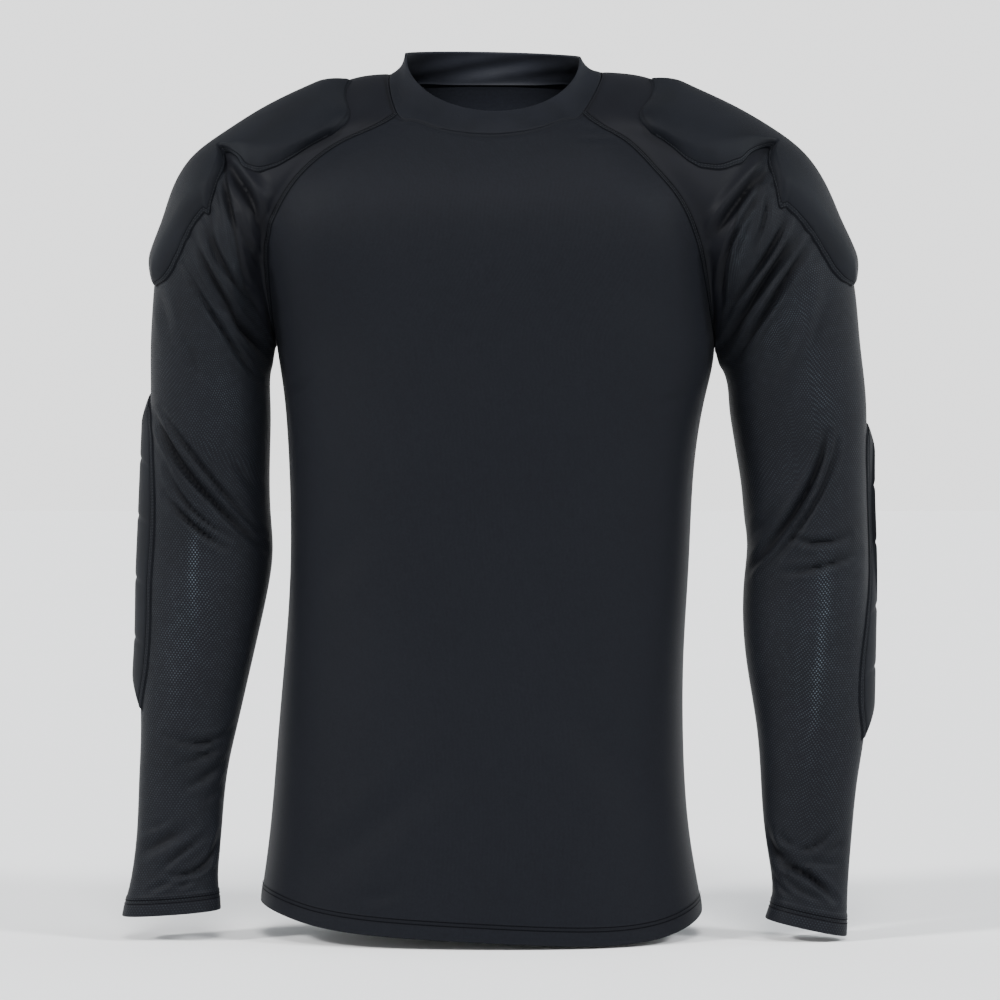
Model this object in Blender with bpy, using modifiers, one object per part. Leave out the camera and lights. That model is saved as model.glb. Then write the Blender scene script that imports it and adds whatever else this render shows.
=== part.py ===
"""A long-sleeved compression shirt with shoulder and elbow pads, in the hollow shape that it has when worn.

The origin lies in the middle of the neck opening, level with the side of the neck seam. +Z is up, the chest
faces -Y, and the wearer's right sleeve is on the -X side. Tables are in millimetres, as seen from the front:
"out" is the X of a point, "up" its Z and "deep" its Y.
"""

import math
from collections import namedtuple

import bmesh
import bpy
import numpy as np

MM = 0.001

# Cloth and sewing, in millimetres
JERSEY_WALL = 1.2
COLLAR_WALL = 2.2
SEAM_GAP = 0.3
HEM_RAISE = 0.7
HEM_STEP = 0.07
PAD_CLEARANCE = 1.2
PAD_EDGE = 1.3
SHOULDER_PAD_HEIGHT = 7.2
ELBOW_PAD_HEIGHT = 6.2
PAD_ROUNDING = 24.0
PAD_GROOVE = 3.2

# The smooth form under all panels is a coarse cage, refined this many times.
REFINE = 3
CELLS = 2**REFINE
FIT_ROUNDS = 6

BODY_COLUMNS = 8
ARM_COLUMNS = 14
SQUARENESS = 0.87
SHARP_ANGLE = 50.0

# Body rings from the hem up to the underarm: the side seams, then the middle of the front and of the back
# Above the hem a row bows evenly; the hem's own two rows run flatter, and hang lower on the wearer's left.
BodyRing = namedtuple(
    "BodyRing",
    "right_out right_up left_out left_up front_deep front_up back_deep back_up",
)
BODY_RINGS = (
    BodyRing(-195.9, -684, 173.0, -693, -113.0, -707, 105.0, -703),
    BodyRing(-194.3, -668, 171.5, -677, -112.5, -691, 104.5, -687),
    BodyRing(-188.0, -618, 162.5, -622, -110.0, -630, 102.0, -628),
    BodyRing(-182.0, -545, 158.0, -548, -106.0, -552, 98.0, -552),
    BodyRing(-175.8, -472, 158.5, -474, -104.0, -476, 95.0, -476),
    BodyRing(-171.6, -398, 162.8, -400, -105.0, -400, 95.0, -400),
    BodyRing(-172.8, -318, 167.0, -322, -110.0, -318, 99.0, -320),
    BodyRing(-177.3, -258, 176.5, -262, -113.5, -256, 104.0, -258),
    BodyRing(-183.4, -216, 184.5, -220, -115.0, -212, 107.0, -214),
)
UNDERARM_ROW = len(BODY_RINGS) - 1
HEM_ROWS = 2
HEM_BOW = 5.0
ROW_BOW = 2.0
HEM_SKEW = 3.0

# Rows above the underarm, up to the neck seam: the middle of the front and of the back, and how far the row
# turns towards the side before a raglan seam cuts it off, in degrees
YokeRow = namedtuple("YokeRow", "front_deep front_up back_deep back_up turn")
YOKE_ROWS = (
    YokeRow(-116, -168, 108, -165, 76),
    YokeRow(-115, -134, 105, -121, 68),
    YokeRow(-111, -110, 99, -83, 62),
    YokeRow(-103, -90, 90, -47, 58),
    YokeRow(-92, -71, 77, -14, 56),
    YokeRow(-77, -49, 61, 8, 54),
)
BODY_ROWS = UNDERARM_ROW + len(YOKE_ROWS)
LOW_BODY_ROWS = (0.0, 1 - HEM_STEP, 1 + HEM_STEP, 2.0, 2.5, 3.0, 4.0, 5.0, 6.0, 7.0, 7.5, 8.0, 8.25)

# Raglan seams from just above the underarm to the neck seam, front and back
RaglanPoint = namedtuple(
    "RaglanPoint", "front_out front_up front_deep back_out back_up back_deep"
)
RAGLAN = {
    "right": (
        RaglanPoint(-188.0, -168, -48, -180, -163, 55),
        RaglanPoint(-186.0, -129, -70, -168, -120, 74),
        RaglanPoint(-173.5, -100, -75, -153, -84, 77),
        RaglanPoint(-155.0, -76, -73, -134, -52, 72),
        RaglanPoint(-123.0, -52, -66, -107, -20, 60),
        RaglanPoint(-81.0, -29, -52, -76, 8, 40),
    ),
    "left": (
        RaglanPoint(175.0, -167, -50, 187, -163, 55),
        RaglanPoint(165.0, -129, -70, 181, -120, 74),
        RaglanPoint(151.0, -100, -75, 166, -84, 77),
        RaglanPoint(131.0, -76, -73, 147, -52, 72),
        RaglanPoint(106.0, -51, -66, 116, -20, 60),
        RaglanPoint(73.0, -28, -52, 75, 8, 40),
    ),
}
NECK_SIDE = {"right": (-89.0, -5.0, 7.0), "left": (90.0, -5.0, 9.0)}

# Sleeve rings from the neck side down to the cuff edge. The over point is on the outer side of the arm, the
# under point on its inner side. Seam is how much of the raglan seam's own shape the ring still has.
ArmRing = namedtuple(
    "ArmRing", "over_out over_up under_out under_up front_deep back_deep seam"
)
ARM_RINGS = {
    "right": (
        ArmRing(-119.0, 4, -183.9, -218.0, -75, 80, 0.93),
        ArmRing(-153.0, -8.5, -184.3, -221.0, -77, 82, 0.82),
        ArmRing(-190.0, -26, -184.8, -224.0, -76, 81, 0.68),
        ArmRing(-223.0, -46.5, -185.4, -227.5, -73, 77, 0.52),
        ArmRing(-249.0, -66.5, -186.0, -231.5, -69, 72, 0.36),
        ArmRing(-264.0, -92, -187.0, -236.5, -65, 67, 0.22),
        ArmRing(-272.5, -118, -188.5, -243.0, -61, 63, 0.11),
        ArmRing(-283.0, -148, -189.0, -254.0, -58, 60, 0.05),
        ArmRing(-287.0, -182, -188.6, -268.0, -56, 57, 0.0),
        ArmRing(-289.0, -220, -188.4, -286.0, -54, 55, 0.0),
        ArmRing(-289.0, -260, -189.0, -309.0, -52, 54, 0.0),
        ArmRing(-290.0, -300, -189.3, -335.0, -50, 53, 0.0),
        ArmRing(-291.5, -340, -188.3, -362.0, -49, 51, 0.0),
        ArmRing(-293.0, -380, -186.6, -390.0, -49, 47, 0.0),
        ArmRing(-294.2, -420, -190.0, -421.0, -50, 42, 0.0),
        ArmRing(-294.5, -462, -197.8, -459.0, -52, 35, 0.0),
        ArmRing(-296.0, -502, -205.5, -494.0, -55, 27, 0.0),
        ArmRing(-295.3, -543, -215.0, -537.0, -58, 17, 0.0),
        ArmRing(-296.2, -582, -223.2, -578.0, -60, 7, 0.0),
        ArmRing(-297.5, -625, -227.0, -622.0, -62, -3, 0.0),
        ArmRing(-301.5, -660, -229.5, -655.0, -63, -10, 0.0),
        ArmRing(-305.0, -676, -229.0, -670.0, -64, -13, 0.0),
        ArmRing(-308.5, -693, -227.8, -687.5, -64, -15, 0.0),
    ),
    "left": (
        ArmRing(128.0, 5, 184.9, -222.5, -75, 80, 0.92),
        ArmRing(160.0, -8, 185.4, -225.0, -77, 82, 0.82),
        ArmRing(196.0, -24.5, 186.1, -228.0, -76, 81, 0.68),
        ArmRing(229.0, -43.5, 187.1, -231.5, -73, 77, 0.52),
        ArmRing(255.5, -64.5, 188.5, -235.5, -69, 72, 0.36),
        ArmRing(273.0, -92, 191.5, -240.5, -65, 67, 0.22),
        ArmRing(284.0, -118, 194.0, -247.0, -61, 63, 0.11),
        ArmRing(297.0, -148, 195.8, -257.0, -58, 60, 0.05),
        ArmRing(303.3, -182, 197.0, -272.0, -56, 57, 0.0),
        ArmRing(306.8, -220, 199.5, -290.0, -54, 55, 0.0),
        ArmRing(311.2, -260, 203.0, -311.0, -52, 54, 0.0),
        ArmRing(312.0, -300, 207.0, -337.0, -50, 53, 0.0),
        ArmRing(312.0, -340, 209.5, -364.0, -49, 51, 0.0),
        ArmRing(313.0, -380, 211.6, -388.0, -49, 47, 0.0),
        ArmRing(313.3, -420, 208.5, -421.0, -50, 42, 0.0),
        ArmRing(312.0, -462, 208.3, -460.0, -52, 35, 0.0),
        ArmRing(310.5, -502, 212.3, -497.0, -55, 27, 0.0),
        ArmRing(308.0, -543, 218.5, -539.0, -58, 17, 0.0),
        ArmRing(301.5, -582, 221.3, -580.0, -60, 7, 0.0),
        ArmRing(296.5, -625, 223.8, -620.0, -62, -3, 0.0),
        ArmRing(293.0, -664, 228.8, -655.0, -63, -10, 0.0),
        ArmRing(291.8, -691, 229.5, -677.0, -64, -13, 0.0),
        ArmRing(291.0, -709.5, 224.5, -695.0, -64, -15, 0.0),
    ),
}
ARM_ROWS = len(ARM_RINGS["right"])
CUFF_LINE = ARM_ROWS - 1
PLAIN_ARM_ROWS = (9.5, 14.5, 15.5, 16.5, 17.5)

# The collar's top edge, an oval that dips at the front
COLLAR_MIDDLE_OUT = -2.0
COLLAR_HALF_WIDTH = 73.5
COLLAR_FRONT_DEEP = -60.0
COLLAR_BACK_DEEP = 47.0
COLLAR_FRONT_UP = -28.0
COLLAR_SIDE_UP = 25.0
COLLAR_BACK_UP = 34.0
COLLAR_TILT = 1.5
COLLAR_BULGE = 1.5
COLLAR_SIDE_BULGE = -3.5
NECK_MIDDLE_DEEP = -8.0
COLLAR_SHARES = (0.0, 1 / 3, 2 / 3, 1.0)

# The largest folds on the front of each sleeve: start, middle and end, half-width and depth. A negative depth
# is a ridge.
Fold = namedtuple(
    "Fold", "start_out start_up mid_out mid_up end_out end_up width depth"
)
FRONT_FOLDS = {
    "right": (
        Fold(-224, -64, -205, -94, -190, -130, 9, 5.0),
        Fold(-225, -68, -216, -121, -205, -171, 5, 2.5),
        Fold(-235, -112, -222, -155, -197, -188, 8, 4.0),
        Fold(-250, -134, -225, -180, -188, -231, 7, 4.0),
        Fold(-258, -155, -226, -205, -197, -248, 6, 3.0),
        Fold(-278, -281, -244, -330, -188, -389, 8, 6.0),
        Fold(-278, -291, -259, -325, -240, -346, 5, 3.0),
        Fold(-272, -321, -249, -358, -219, -380, 6, 3.0),
        Fold(-272, -345, -245, -372, -223, -388, 7, 4.0),
        Fold(-270, -541, -244, -548, -214, -536, 5, 2.5),
        Fold(-256, -586, -237, -575, -221, -564, 5, 2.0),
        Fold(-291, -639, -274, -630, -250, -617, 7, 3.0),
        Fold(-270, -655, -244, -650, -225, -621, 7, 3.5),
    ),
    "left": (
        Fold(224, -73, 200, -103, 178, -136, 9, 5.0),
        Fold(224, -79, 216, -93, 203, -119, 6, 3.0),
        Fold(221, -93, 193, -140, 188, -186, 6, 3.0),
        Fold(241, -113, 219, -156, 193, -193, 8, 4.5),
        Fold(254, -127, 223, -167, 190, -222, 8, 4.5),
        Fold(260, -137, 230, -184, 200, -233, 7, 4.0),
        Fold(269, -162, 255, -207, 235, -261, 8, -2.5),
        Fold(274, -295, 259, -340, 209, -409, 9, 6.0),
        Fold(245, -380, 274, -383, 293, -377, 6, 3.0),
        Fold(239, -408, 265, -402, 303, -392, 6, 3.0),
        Fold(247, -634, 263, -628, 277, -615, 5, 2.0),
        Fold(223, -618, 230, -639, 249, -648, 6, 3.0),
        Fold(233, -649, 255, -656, 279, -677, 6, 3.5),
    ),
}
BACK_FOLD_DROP = 7.0
BACK_FOLD_NARROWING = 0.97
BACK_FOLD_DEPTH = 0.8
FOLD_STEPS = 24
FOLD_ENDS = 0.08
FOLD_FADE = 0.7
FACING = (0.05, 0.5)

# Pad outlines on a sleeve: the row of the sleeve, then how far the pad reaches along the ring from the outer
# line of the arm, to the front and to the back
PadRow = namedtuple("PadRow", "row front_reach back_reach")
SHOULDER_PAD = (
    PadRow(1.05, 98, 92),
    PadRow(1.3, 118, 104),
    PadRow(1.8, 124, 110),
    PadRow(2.3, 117, 108),
    PadRow(2.8, 107, 104),
    PadRow(3.3, 92, 98),
    PadRow(3.8, 74, 92),
    PadRow(4.2, 50, 87),
    PadRow(4.4, 34, 85),
    PadRow(4.55, 62, 83),
    PadRow(4.75, 88, 82),
    PadRow(5.1, 84, 80),
    PadRow(5.6, 77, 76),
    PadRow(6.2, 69, 70),
    PadRow(6.8, 62, 62),
    PadRow(7.4, 57, 55),
    PadRow(7.9, 52, 48),
    PadRow(8.3, 42, 38),
    PadRow(8.6, 26, 24),
)
SHOULDER_HUMP = 0.4
ELBOW_PAD = {
    "right": (
        PadRow(11.0, 14, 26),
        PadRow(11.4, 23, 44),
        PadRow(12.1, 29, 52),
        PadRow(12.9, 33, 54),
        PadRow(13.8, 33, 54),
        PadRow(14.8, 30, 54),
        PadRow(15.8, 29, 51),
        PadRow(16.6, 26, 44),
        PadRow(17.3, 16, 30),
    ),
    "left": (
        PadRow(11.6, 14, 32),
        PadRow(12.0, 16, 50),
        PadRow(12.7, 11, 66),
        PadRow(13.5, 9, 72),
        PadRow(14.4, 10, 72),
        PadRow(15.4, 20, 62),
        PadRow(16.4, 27, 54),
        PadRow(17.2, 26, 46),
        PadRow(17.9, 16, 30),
    ),
}
ELBOW_GROOVES = {"right": (12.3, 13.5, 14.8, 16.0), "left": (12.9, 14.1, 15.4, 16.6)}
ELBOW_SLANT = 0.25
GROOVE_HALF = 0.12
PAD_END_STEP = 0.2
HUMP_ROWS = 2.0
PAD_SHARES = (-1.0, -0.9, -0.75, -0.57, -0.38, -0.19, 0.0, 0.19, 0.38, 0.57, 0.75, 0.9, 1.0)
GROOVED_SHARES = (-1.0, -0.5, 0.0, 0.2, 0.4, 0.6, 0.82, 1.0)

JERSEY_COLOR = (0.018, 0.022, 0.028, 1.0)
MESH_COLOR = (0.014, 0.018, 0.024, 1.0)
PAD_COLOR = (0.012, 0.013, 0.017, 1.0)
COLLAR_COLOR = (0.015, 0.017, 0.021, 1.0)
JERSEY_ROUGHNESS = 0.75
MESH_ROUGHNESS = 0.8
PAD_ROUGHNESS = 0.6
COLLAR_ROUGHNESS = 0.7


def mix(a, b, share):
    return a + (b - a) * share


def smooth_step(low, high, value):
    share = np.clip((value - low) / (high - low), 0.0, 1.0)
    return share * share * (3.0 - 2.0 * share)


def point(out, deep, up):
    return np.array((out, deep, up), dtype=float)


def underarm(side):
    ring = BODY_RINGS[-1]
    if side == "right":
        return point(ring.right_out, 0.0, ring.right_up)
    return point(ring.left_out, 0.0, ring.left_up)


def raglan(side, face, step):
    """A point on the raglan seam, from the underarm at step 0 up to the neck."""
    if step == 0:
        return underarm(side)
    row = RAGLAN[side][step - 1]
    if face == "front":
        return point(row.front_out, row.front_deep, row.front_up)
    return point(row.back_out, row.back_deep, row.back_up)


def body_ends(face, row):
    """The two ends of a row of the front or the back, its middle depth and height, and its turn."""
    if row <= UNDERARM_ROW:
        ring = BODY_RINGS[row]
        right = point(ring.right_out, 0.0, ring.right_up)
        left = point(ring.left_out, 0.0, ring.left_up)
        middle = (ring.front_deep, ring.front_up)
        if face == "back":
            middle = (ring.back_deep, ring.back_up)
        return right, left, middle, 90.0
    step = row - UNDERARM_ROW
    yoke = YOKE_ROWS[step - 1]
    middle = (yoke.front_deep, yoke.front_up)
    if face == "back":
        middle = (yoke.back_deep, yoke.back_up)
    return raglan("right", face, step), raglan("left", face, step), middle, yoke.turn


def body_point(face, column, row):
    """A point of the front or back panel: column 0 is on the wearer's right."""
    right, left, (deep, up), turn = body_ends(face, row)
    if column == 0:
        return right
    if column == BODY_COLUMNS:
        return left
    share = 2.0 * column / BODY_COLUMNS - 1.0
    angle = math.radians(turn)
    across = (abs(math.sin(share * angle)) / math.sin(angle)) ** SQUARENESS
    edge = math.cos(angle) ** SQUARENESS if turn < 90 else 0.0
    bulge = (math.cos(share * angle) ** SQUARENESS - edge) / (1.0 - edge)
    along = 0.5 + 0.5 * math.copysign(across, share)
    end = mix(right, left, along)
    lift = up - (right[2] + left[2]) / 2
    bow, skew = (HEM_BOW, HEM_SKEW) if row < HEM_ROWS else (ROW_BOW, 0.0)
    height = end[2] + lift * (1.0 - across**bow) - skew * math.sin(math.pi * share)
    return point(end[0], mix(end[1], deep, bulge), height)


def seam_loop(side, column):
    """The closed loop that a sleeve is sewn to: up the front raglan, over the neck side, down the back."""
    half = ARM_COLUMNS // 2
    if column == half:
        return point(*NECK_SIDE[side])
    if column < half:
        return raglan(side, "front", column)
    return raglan(side, "back", ARM_COLUMNS - column)


def split_along(side, column):
    """A seam loop point by its place along the line from underarm to neck side, and its bow off that line."""
    loop, under = seam_loop(side, column), underarm(side)
    axis = (point(*NECK_SIDE[side]) - under)[[0, 2]]
    away = (loop - under)[[0, 2]]
    length = np.dot(axis, axis)
    bow = (axis[0] * away[1] - axis[1] * away[0]) / math.sqrt(length)
    return np.dot(away, axis) / length, bow


def arm_point(side, column, row):
    """A point of a sleeve: column 0 is on the underarm seam, and the front comes before the back."""
    column %= ARM_COLUMNS
    loop = seam_loop(side, column)
    if row == 0:
        return loop
    ring = ARM_RINGS[side][row - 1]
    widest = RAGLAN[side][2]
    reach, loop_reach = ring.back_deep, widest.back_deep
    if column * 2 < ARM_COLUMNS:
        reach, loop_reach = ring.front_deep, widest.front_deep
    angle = 2.0 * math.pi * column / ARM_COLUMNS
    loop_along, bow = split_along(side, column)
    along = mix((1.0 - math.cos(angle)) / 2, loop_along, ring.seam)
    swell = mix(abs(math.sin(angle)) ** SQUARENESS, min(loop[1] / loop_reach, 1.0), ring.seam)
    middle = (ring.front_deep + ring.back_deep) / 2
    if column * 2 in (0, ARM_COLUMNS):
        swell = 0.0
    under = np.array((ring.under_out, ring.under_up))
    axis = np.array((ring.over_out, ring.over_up)) - under
    sideways = np.array((-axis[1], axis[0])) / np.linalg.norm(axis)
    out, up = under + axis * along + sideways * bow * ring.seam
    return point(out, mix(middle, reach, swell), up)


PANELS = {
    "front_panel": (BODY_COLUMNS, BODY_ROWS, lambda c, r: body_point("front", c, r)),
    "back_panel": (BODY_COLUMNS, BODY_ROWS, lambda c, r: body_point("back", c, r)),
    "sleeve_right": (ARM_COLUMNS, ARM_ROWS, lambda c, r: arm_point("right", c, r)),
    "sleeve_left": (ARM_COLUMNS, ARM_ROWS, lambda c, r: arm_point("left", c, r)),
}


def cage_mesh():
    """All panels as coarse grids, welded along their seams. A face's material number is its panel."""
    bm = bmesh.new()
    chart = bm.loops.layers.uv.new("chart")
    for number, (columns, rows, place) in enumerate(PANELS.values()):
        made = bmesh.ops.create_grid(bm, x_segments=columns, y_segments=rows, size=1)
        spots = {}
        for index, vertex in enumerate(made["verts"]):
            row, column = divmod(index, columns + 1)
            spots[vertex] = (column, row)
            vertex.co = place(column, row) * MM
        faces = {face for vertex in made["verts"] for face in vertex.link_faces}
        for face in faces:
            face.material_index = number
            for loop in face.loops:
                loop[chart].uv = spots[loop.vert]
    bmesh.ops.remove_doubles(bm, verts=bm.verts, dist=0.00001)
    bmesh.ops.recalc_face_normals(bm, faces=bm.faces)
    mesh = bpy.data.meshes.new("cage")
    bm.to_mesh(mesh)
    bm.free()
    return mesh


def refined(guide):
    depsgraph = bpy.context.evaluated_depsgraph_get()
    depsgraph.update()
    return guide.evaluated_get(depsgraph).to_mesh()


def positions(mesh, kind="vertices"):
    values = np.empty(len(mesh.vertices) * 3)
    if kind == "vertices":
        mesh.vertices.foreach_get("co", values)
    else:
        mesh.vertex_normals.foreach_get("vector", values)
    return values.reshape(-1, 3)


def fit_cage(guide, smooth):
    """Moves the cage until its smooth surface runs through the points of the tables."""
    wanted = positions(guide.data)
    cage = wanted.copy()
    smooth.levels = smooth.render_levels = 1
    for _ in range(FIT_ROUNDS):
        cage += wanted - positions(refined(guide))[: len(wanted)]
        guide.data.vertices.foreach_set("co", cage.ravel())
        guide.data.update()
    smooth.levels = smooth.render_levels = REFINE


def chart_panels(mesh):
    """The refined surface as one grid of points and normals for each panel."""
    points, normals = positions(mesh), positions(mesh, "normals")
    corners = np.empty(len(mesh.loops), dtype=int)
    mesh.loops.foreach_get("vertex_index", corners)
    chart = np.empty(len(mesh.loops) * 2)
    mesh.uv_layers[0].data.foreach_get("uv", chart)
    cells = np.rint(chart.reshape(-1, 2) * CELLS).astype(int)
    numbers = np.empty(len(mesh.polygons), dtype=int)
    mesh.polygons.foreach_get("material_index", numbers)
    owners = np.repeat(numbers, 4)
    charts = {}
    for number, (name, (columns, rows, _)) in enumerate(PANELS.items()):
        mine = owners == number
        grid = np.zeros((2, columns * CELLS + 1, rows * CELLS + 1, 3))
        across, along = cells[mine].T
        grid[0, across, along] = points[corners[mine]]
        grid[1, across, along] = normals[corners[mine]]
        charts[name] = grid
    return charts


def smooth_form(guides):
    guide = bpy.data.objects.new("form_guide", cage_mesh())
    guides.objects.link(guide)
    guide.hide_render = True
    guide.display_type = "WIRE"
    smooth = guide.modifiers.new("smooth", "SUBSURF")
    smooth.uv_smooth = "NONE"
    fit_cage(guide, smooth)
    charts = chart_panels(refined(guide))
    bpy.data.objects.remove(guide)
    return charts


def sample(charts, panel, column, row):
    """The point and normal of a panel at any place on its chart, in millimetres."""
    grid = charts[panel]
    across = np.clip(np.asarray(column) * CELLS, 0, grid.shape[1] - 1)
    along = np.clip(np.asarray(row) * CELLS, 0, grid.shape[2] - 1)
    left = np.minimum(across.astype(int), grid.shape[1] - 2)
    low = np.minimum(along.astype(int), grid.shape[2] - 2)
    x, y = (across - left)[..., None], (along - low)[..., None]
    mixed = mix(
        mix(grid[:, left, low], grid[:, left + 1, low], x),
        mix(grid[:, left, low + 1], grid[:, left + 1, low + 1], x),
        y,
    )
    normal = mixed[1] / np.linalg.norm(mixed[1], axis=-1, keepdims=True)
    return mixed[0] / MM, normal


def back_fold(fold):
    """A fold of the back of the other sleeve: like one of the front, but lower, shallower and mirrored."""
    k = -BACK_FOLD_NARROWING
    drop = BACK_FOLD_DROP
    return Fold(
        fold.start_out * k, fold.start_up - drop, fold.mid_out * k, fold.mid_up - drop,
        fold.end_out * k, fold.end_up - drop, fold.width, fold.depth * BACK_FOLD_DEPTH,
    )


def fold_path(fold):
    """Points along a fold's curve, and its strength there, which fades towards both ends."""
    share = np.linspace(0.0, 1.0, FOLD_STEPS)
    start = np.array((fold.start_out, fold.start_up))
    middle = np.array((fold.mid_out, fold.mid_up))
    end = np.array((fold.end_out, fold.end_up))
    handle = 2 * middle - (start + end) / 2
    path = mix(mix(start, handle, share[:, None]), mix(handle, end, share[:, None]), share[:, None])
    return path, np.sin(np.pi * np.clip(share, FOLD_ENDS, 1 - FOLD_ENDS)) ** FOLD_FADE


def folded(points, normals):
    """Moves points into the folds of the side that they face."""
    moved = points.copy()
    facing = -normals[..., 1]
    for side, folds in FRONT_FOLDS.items():
        for fold in folds:
            for shape, towards in ((fold, facing), (back_fold(fold), -facing)):
                path, strength = fold_path(shape)
                away = points[..., None, [0, 2]] - path
                distance = np.hypot(away[..., 0], away[..., 1])
                near = np.exp(-((distance / shape.width) ** 2)) * strength
                depth = near.max(axis=-1) * shape.depth * smooth_step(*FACING, towards)
                moved -= normals * depth[..., None]
    return moved


def pull_in(points, edges):
    """Draws the named edges of a grid of points in by half a seam gap."""
    half = SEAM_GAP / 2
    ends = {"first": (0, 1), "last": (-1, -2)}
    for axis, end in edges:
        edge, inner = ends[end]
        grid = points if axis == "column" else points.swapaxes(0, 1)
        step = grid[inner] - grid[edge]
        grid[edge] += half * step / np.linalg.norm(step, axis=-1, keepdims=True)
    return points


def cloth_wall(outer, inner, tube=False):
    """A closed wall between two grids of points. A tube's last column is its first."""
    columns, rows = outer.shape[0] - 1, outer.shape[1] - 1
    bm = bmesh.new()
    spot = bm.verts.layers.int.new("spot")
    made = bmesh.ops.create_grid(bm, x_segments=columns, y_segments=rows, size=1)
    inside = inner.swapaxes(0, 1).reshape(-1, 3) * MM
    outside = outer.swapaxes(0, 1).reshape(-1, 3) * MM
    for index, vertex in enumerate(made["verts"]):
        vertex[spot] = index
        vertex.co = inside[index]
    if tube:
        bmesh.ops.remove_doubles(bm, verts=bm.verts, dist=0.000001)
    lifted = bmesh.ops.extrude_face_region(bm, geom=bm.faces[:], use_keep_orig=True)
    for item in lifted["geom"]:
        if isinstance(item, bmesh.types.BMVert):
            item.co = outside[item[spot]]
    bmesh.ops.recalc_face_normals(bm, faces=bm.faces)
    mesh = bpy.data.meshes.new("wall")
    bm.to_mesh(mesh)
    bm.free()
    return mesh


def add_part(parts, name, mesh, color, roughness):
    material = bpy.data.materials.new(name)
    material.use_nodes = True
    shader = material.node_tree.nodes["Principled BSDF"]
    shader.inputs["Base Color"].default_value = color
    shader.inputs["Roughness"].default_value = roughness
    shader.inputs["Metallic"].default_value = 0.0
    mesh.name = name
    mesh.materials.append(material)
    mesh.shade_smooth()
    mesh.set_sharp_from_angle(angle=math.radians(SHARP_ANGLE))
    made = bpy.data.objects.new(name, mesh)
    parts.objects.link(made)


def panel_mesh(charts, name, columns, rows, raised, edges, tube=False):
    """A panel of jersey: folded, drawn back from its seams, and thicker where its hem is turned."""
    across, along = np.meshgrid(columns, rows, indexing="ij")
    points, normals = sample(charts, name, across, along)
    points = pull_in(folded(points, normals), edges)
    outer = points + normals * (raised(along) * HEM_RAISE)[..., None]
    return cloth_wall(outer, points - normals * JERSEY_WALL, tube)


def add_body(charts, parts):
    columns = np.arange(0, BODY_COLUMNS + 0.1, 0.5)
    rows = np.concatenate((LOW_BODY_ROWS, np.arange(UNDERARM_ROW + 0.5, BODY_ROWS + 0.1, 0.5)))
    edges = (("column", "first"), ("column", "last"), ("row", "last"))
    for name in ("front_panel", "back_panel"):
        mesh = panel_mesh(
            charts, name, columns, rows,
            lambda row: 1.0 - smooth_step(1 - HEM_STEP, 1 + HEM_STEP, row), edges,
        )
        add_part(parts, name, mesh, JERSEY_COLOR, JERSEY_ROUGHNESS)


def add_sleeves(charts, parts):
    middle = np.arange(0.5, ARM_COLUMNS - 0.4, 0.5)
    columns = np.concatenate(((0.0, 0.25), middle, (ARM_COLUMNS - 0.25, ARM_COLUMNS)))
    rows = [row for row in np.arange(0, CUFF_LINE - 0.4, 0.5) if row not in PLAIN_ARM_ROWS]
    rows += [CUFF_LINE - HEM_STEP, CUFF_LINE + HEM_STEP, ARM_ROWS]
    for side in ("right", "left"):
        name = "sleeve_" + side
        mesh = panel_mesh(
            charts, name, columns, rows,
            lambda row: smooth_step(CUFF_LINE - HEM_STEP, CUFF_LINE + HEM_STEP, row),
            (("row", "first"),), tube=True,
        )
        add_part(parts, name, mesh, MESH_COLOR, MESH_ROUGHNESS)


def neck_seam(charts):
    """The neck seam as one closed row of points: front, left sleeve, back and right sleeve."""
    across = np.arange(0, BODY_COLUMNS, 0.5)
    half = ARM_COLUMNS / 2
    over = np.arange(half - 1, half + 1, 0.5)
    stretches = (
        ("front_panel", across, BODY_ROWS),
        ("sleeve_left", over, 0),
        ("back_panel", BODY_COLUMNS - across, BODY_ROWS),
        ("sleeve_right", 2 * half - over, 0),
    )
    seam = np.concatenate(
        [sample(charts, name, columns, np.full(len(columns), row))[0] for name, columns, row in stretches]
    )
    return np.vstack((seam, seam[:1]))


def collar_angle(seam):
    """The direction of each point of the neck seam from the middle of the neck: 0 is straight ahead."""
    return np.arctan2(seam[:, 0] - COLLAR_MIDDLE_OUT, NECK_MIDDLE_DEEP - seam[:, 1])


def collar_top(seam):
    """The collar's top edge, a point above each point of the neck seam."""
    angle = collar_angle(seam)
    ahead = np.cos(angle)
    middle = (COLLAR_FRONT_DEEP + COLLAR_BACK_DEEP) / 2
    end = np.where(ahead > 0, COLLAR_FRONT_UP, COLLAR_BACK_UP)
    return np.stack(
        (
            COLLAR_MIDDLE_OUT + COLLAR_HALF_WIDTH * np.sin(angle),
            middle + (COLLAR_FRONT_DEEP - middle) * ahead,
            mix(COLLAR_SIDE_UP, end, abs(ahead)) - COLLAR_TILT * np.sin(angle),
        ),
        axis=-1,
    )


def add_collar(charts, parts):
    seam = neck_seam(charts)
    rise = collar_top(seam) - seam
    along = np.roll(seam[:-1], -1, axis=0) - np.roll(seam[:-1], 1, axis=0)
    along = np.vstack((along, along[:1]))
    outward = np.cross(along, rise)
    outward /= np.linalg.norm(outward, axis=-1, keepdims=True)
    start = SEAM_GAP / 2 / np.linalg.norm(rise, axis=-1, keepdims=True)
    bulge = mix(COLLAR_SIDE_BULGE, COLLAR_BULGE, np.cos(collar_angle(seam)) ** 2)[:, None]
    rows = [
        seam + rise * mix(start, 1.0, share) + outward * bulge * math.sin(math.pi * share)
        for share in COLLAR_SHARES
    ]
    outer = np.stack(rows, axis=1)
    mesh = cloth_wall(outer, outer - outward[:, None] * COLLAR_WALL, tube=True)
    add_part(parts, "collar_band", mesh, COLLAR_COLOR, COLLAR_ROUGHNESS)


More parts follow.
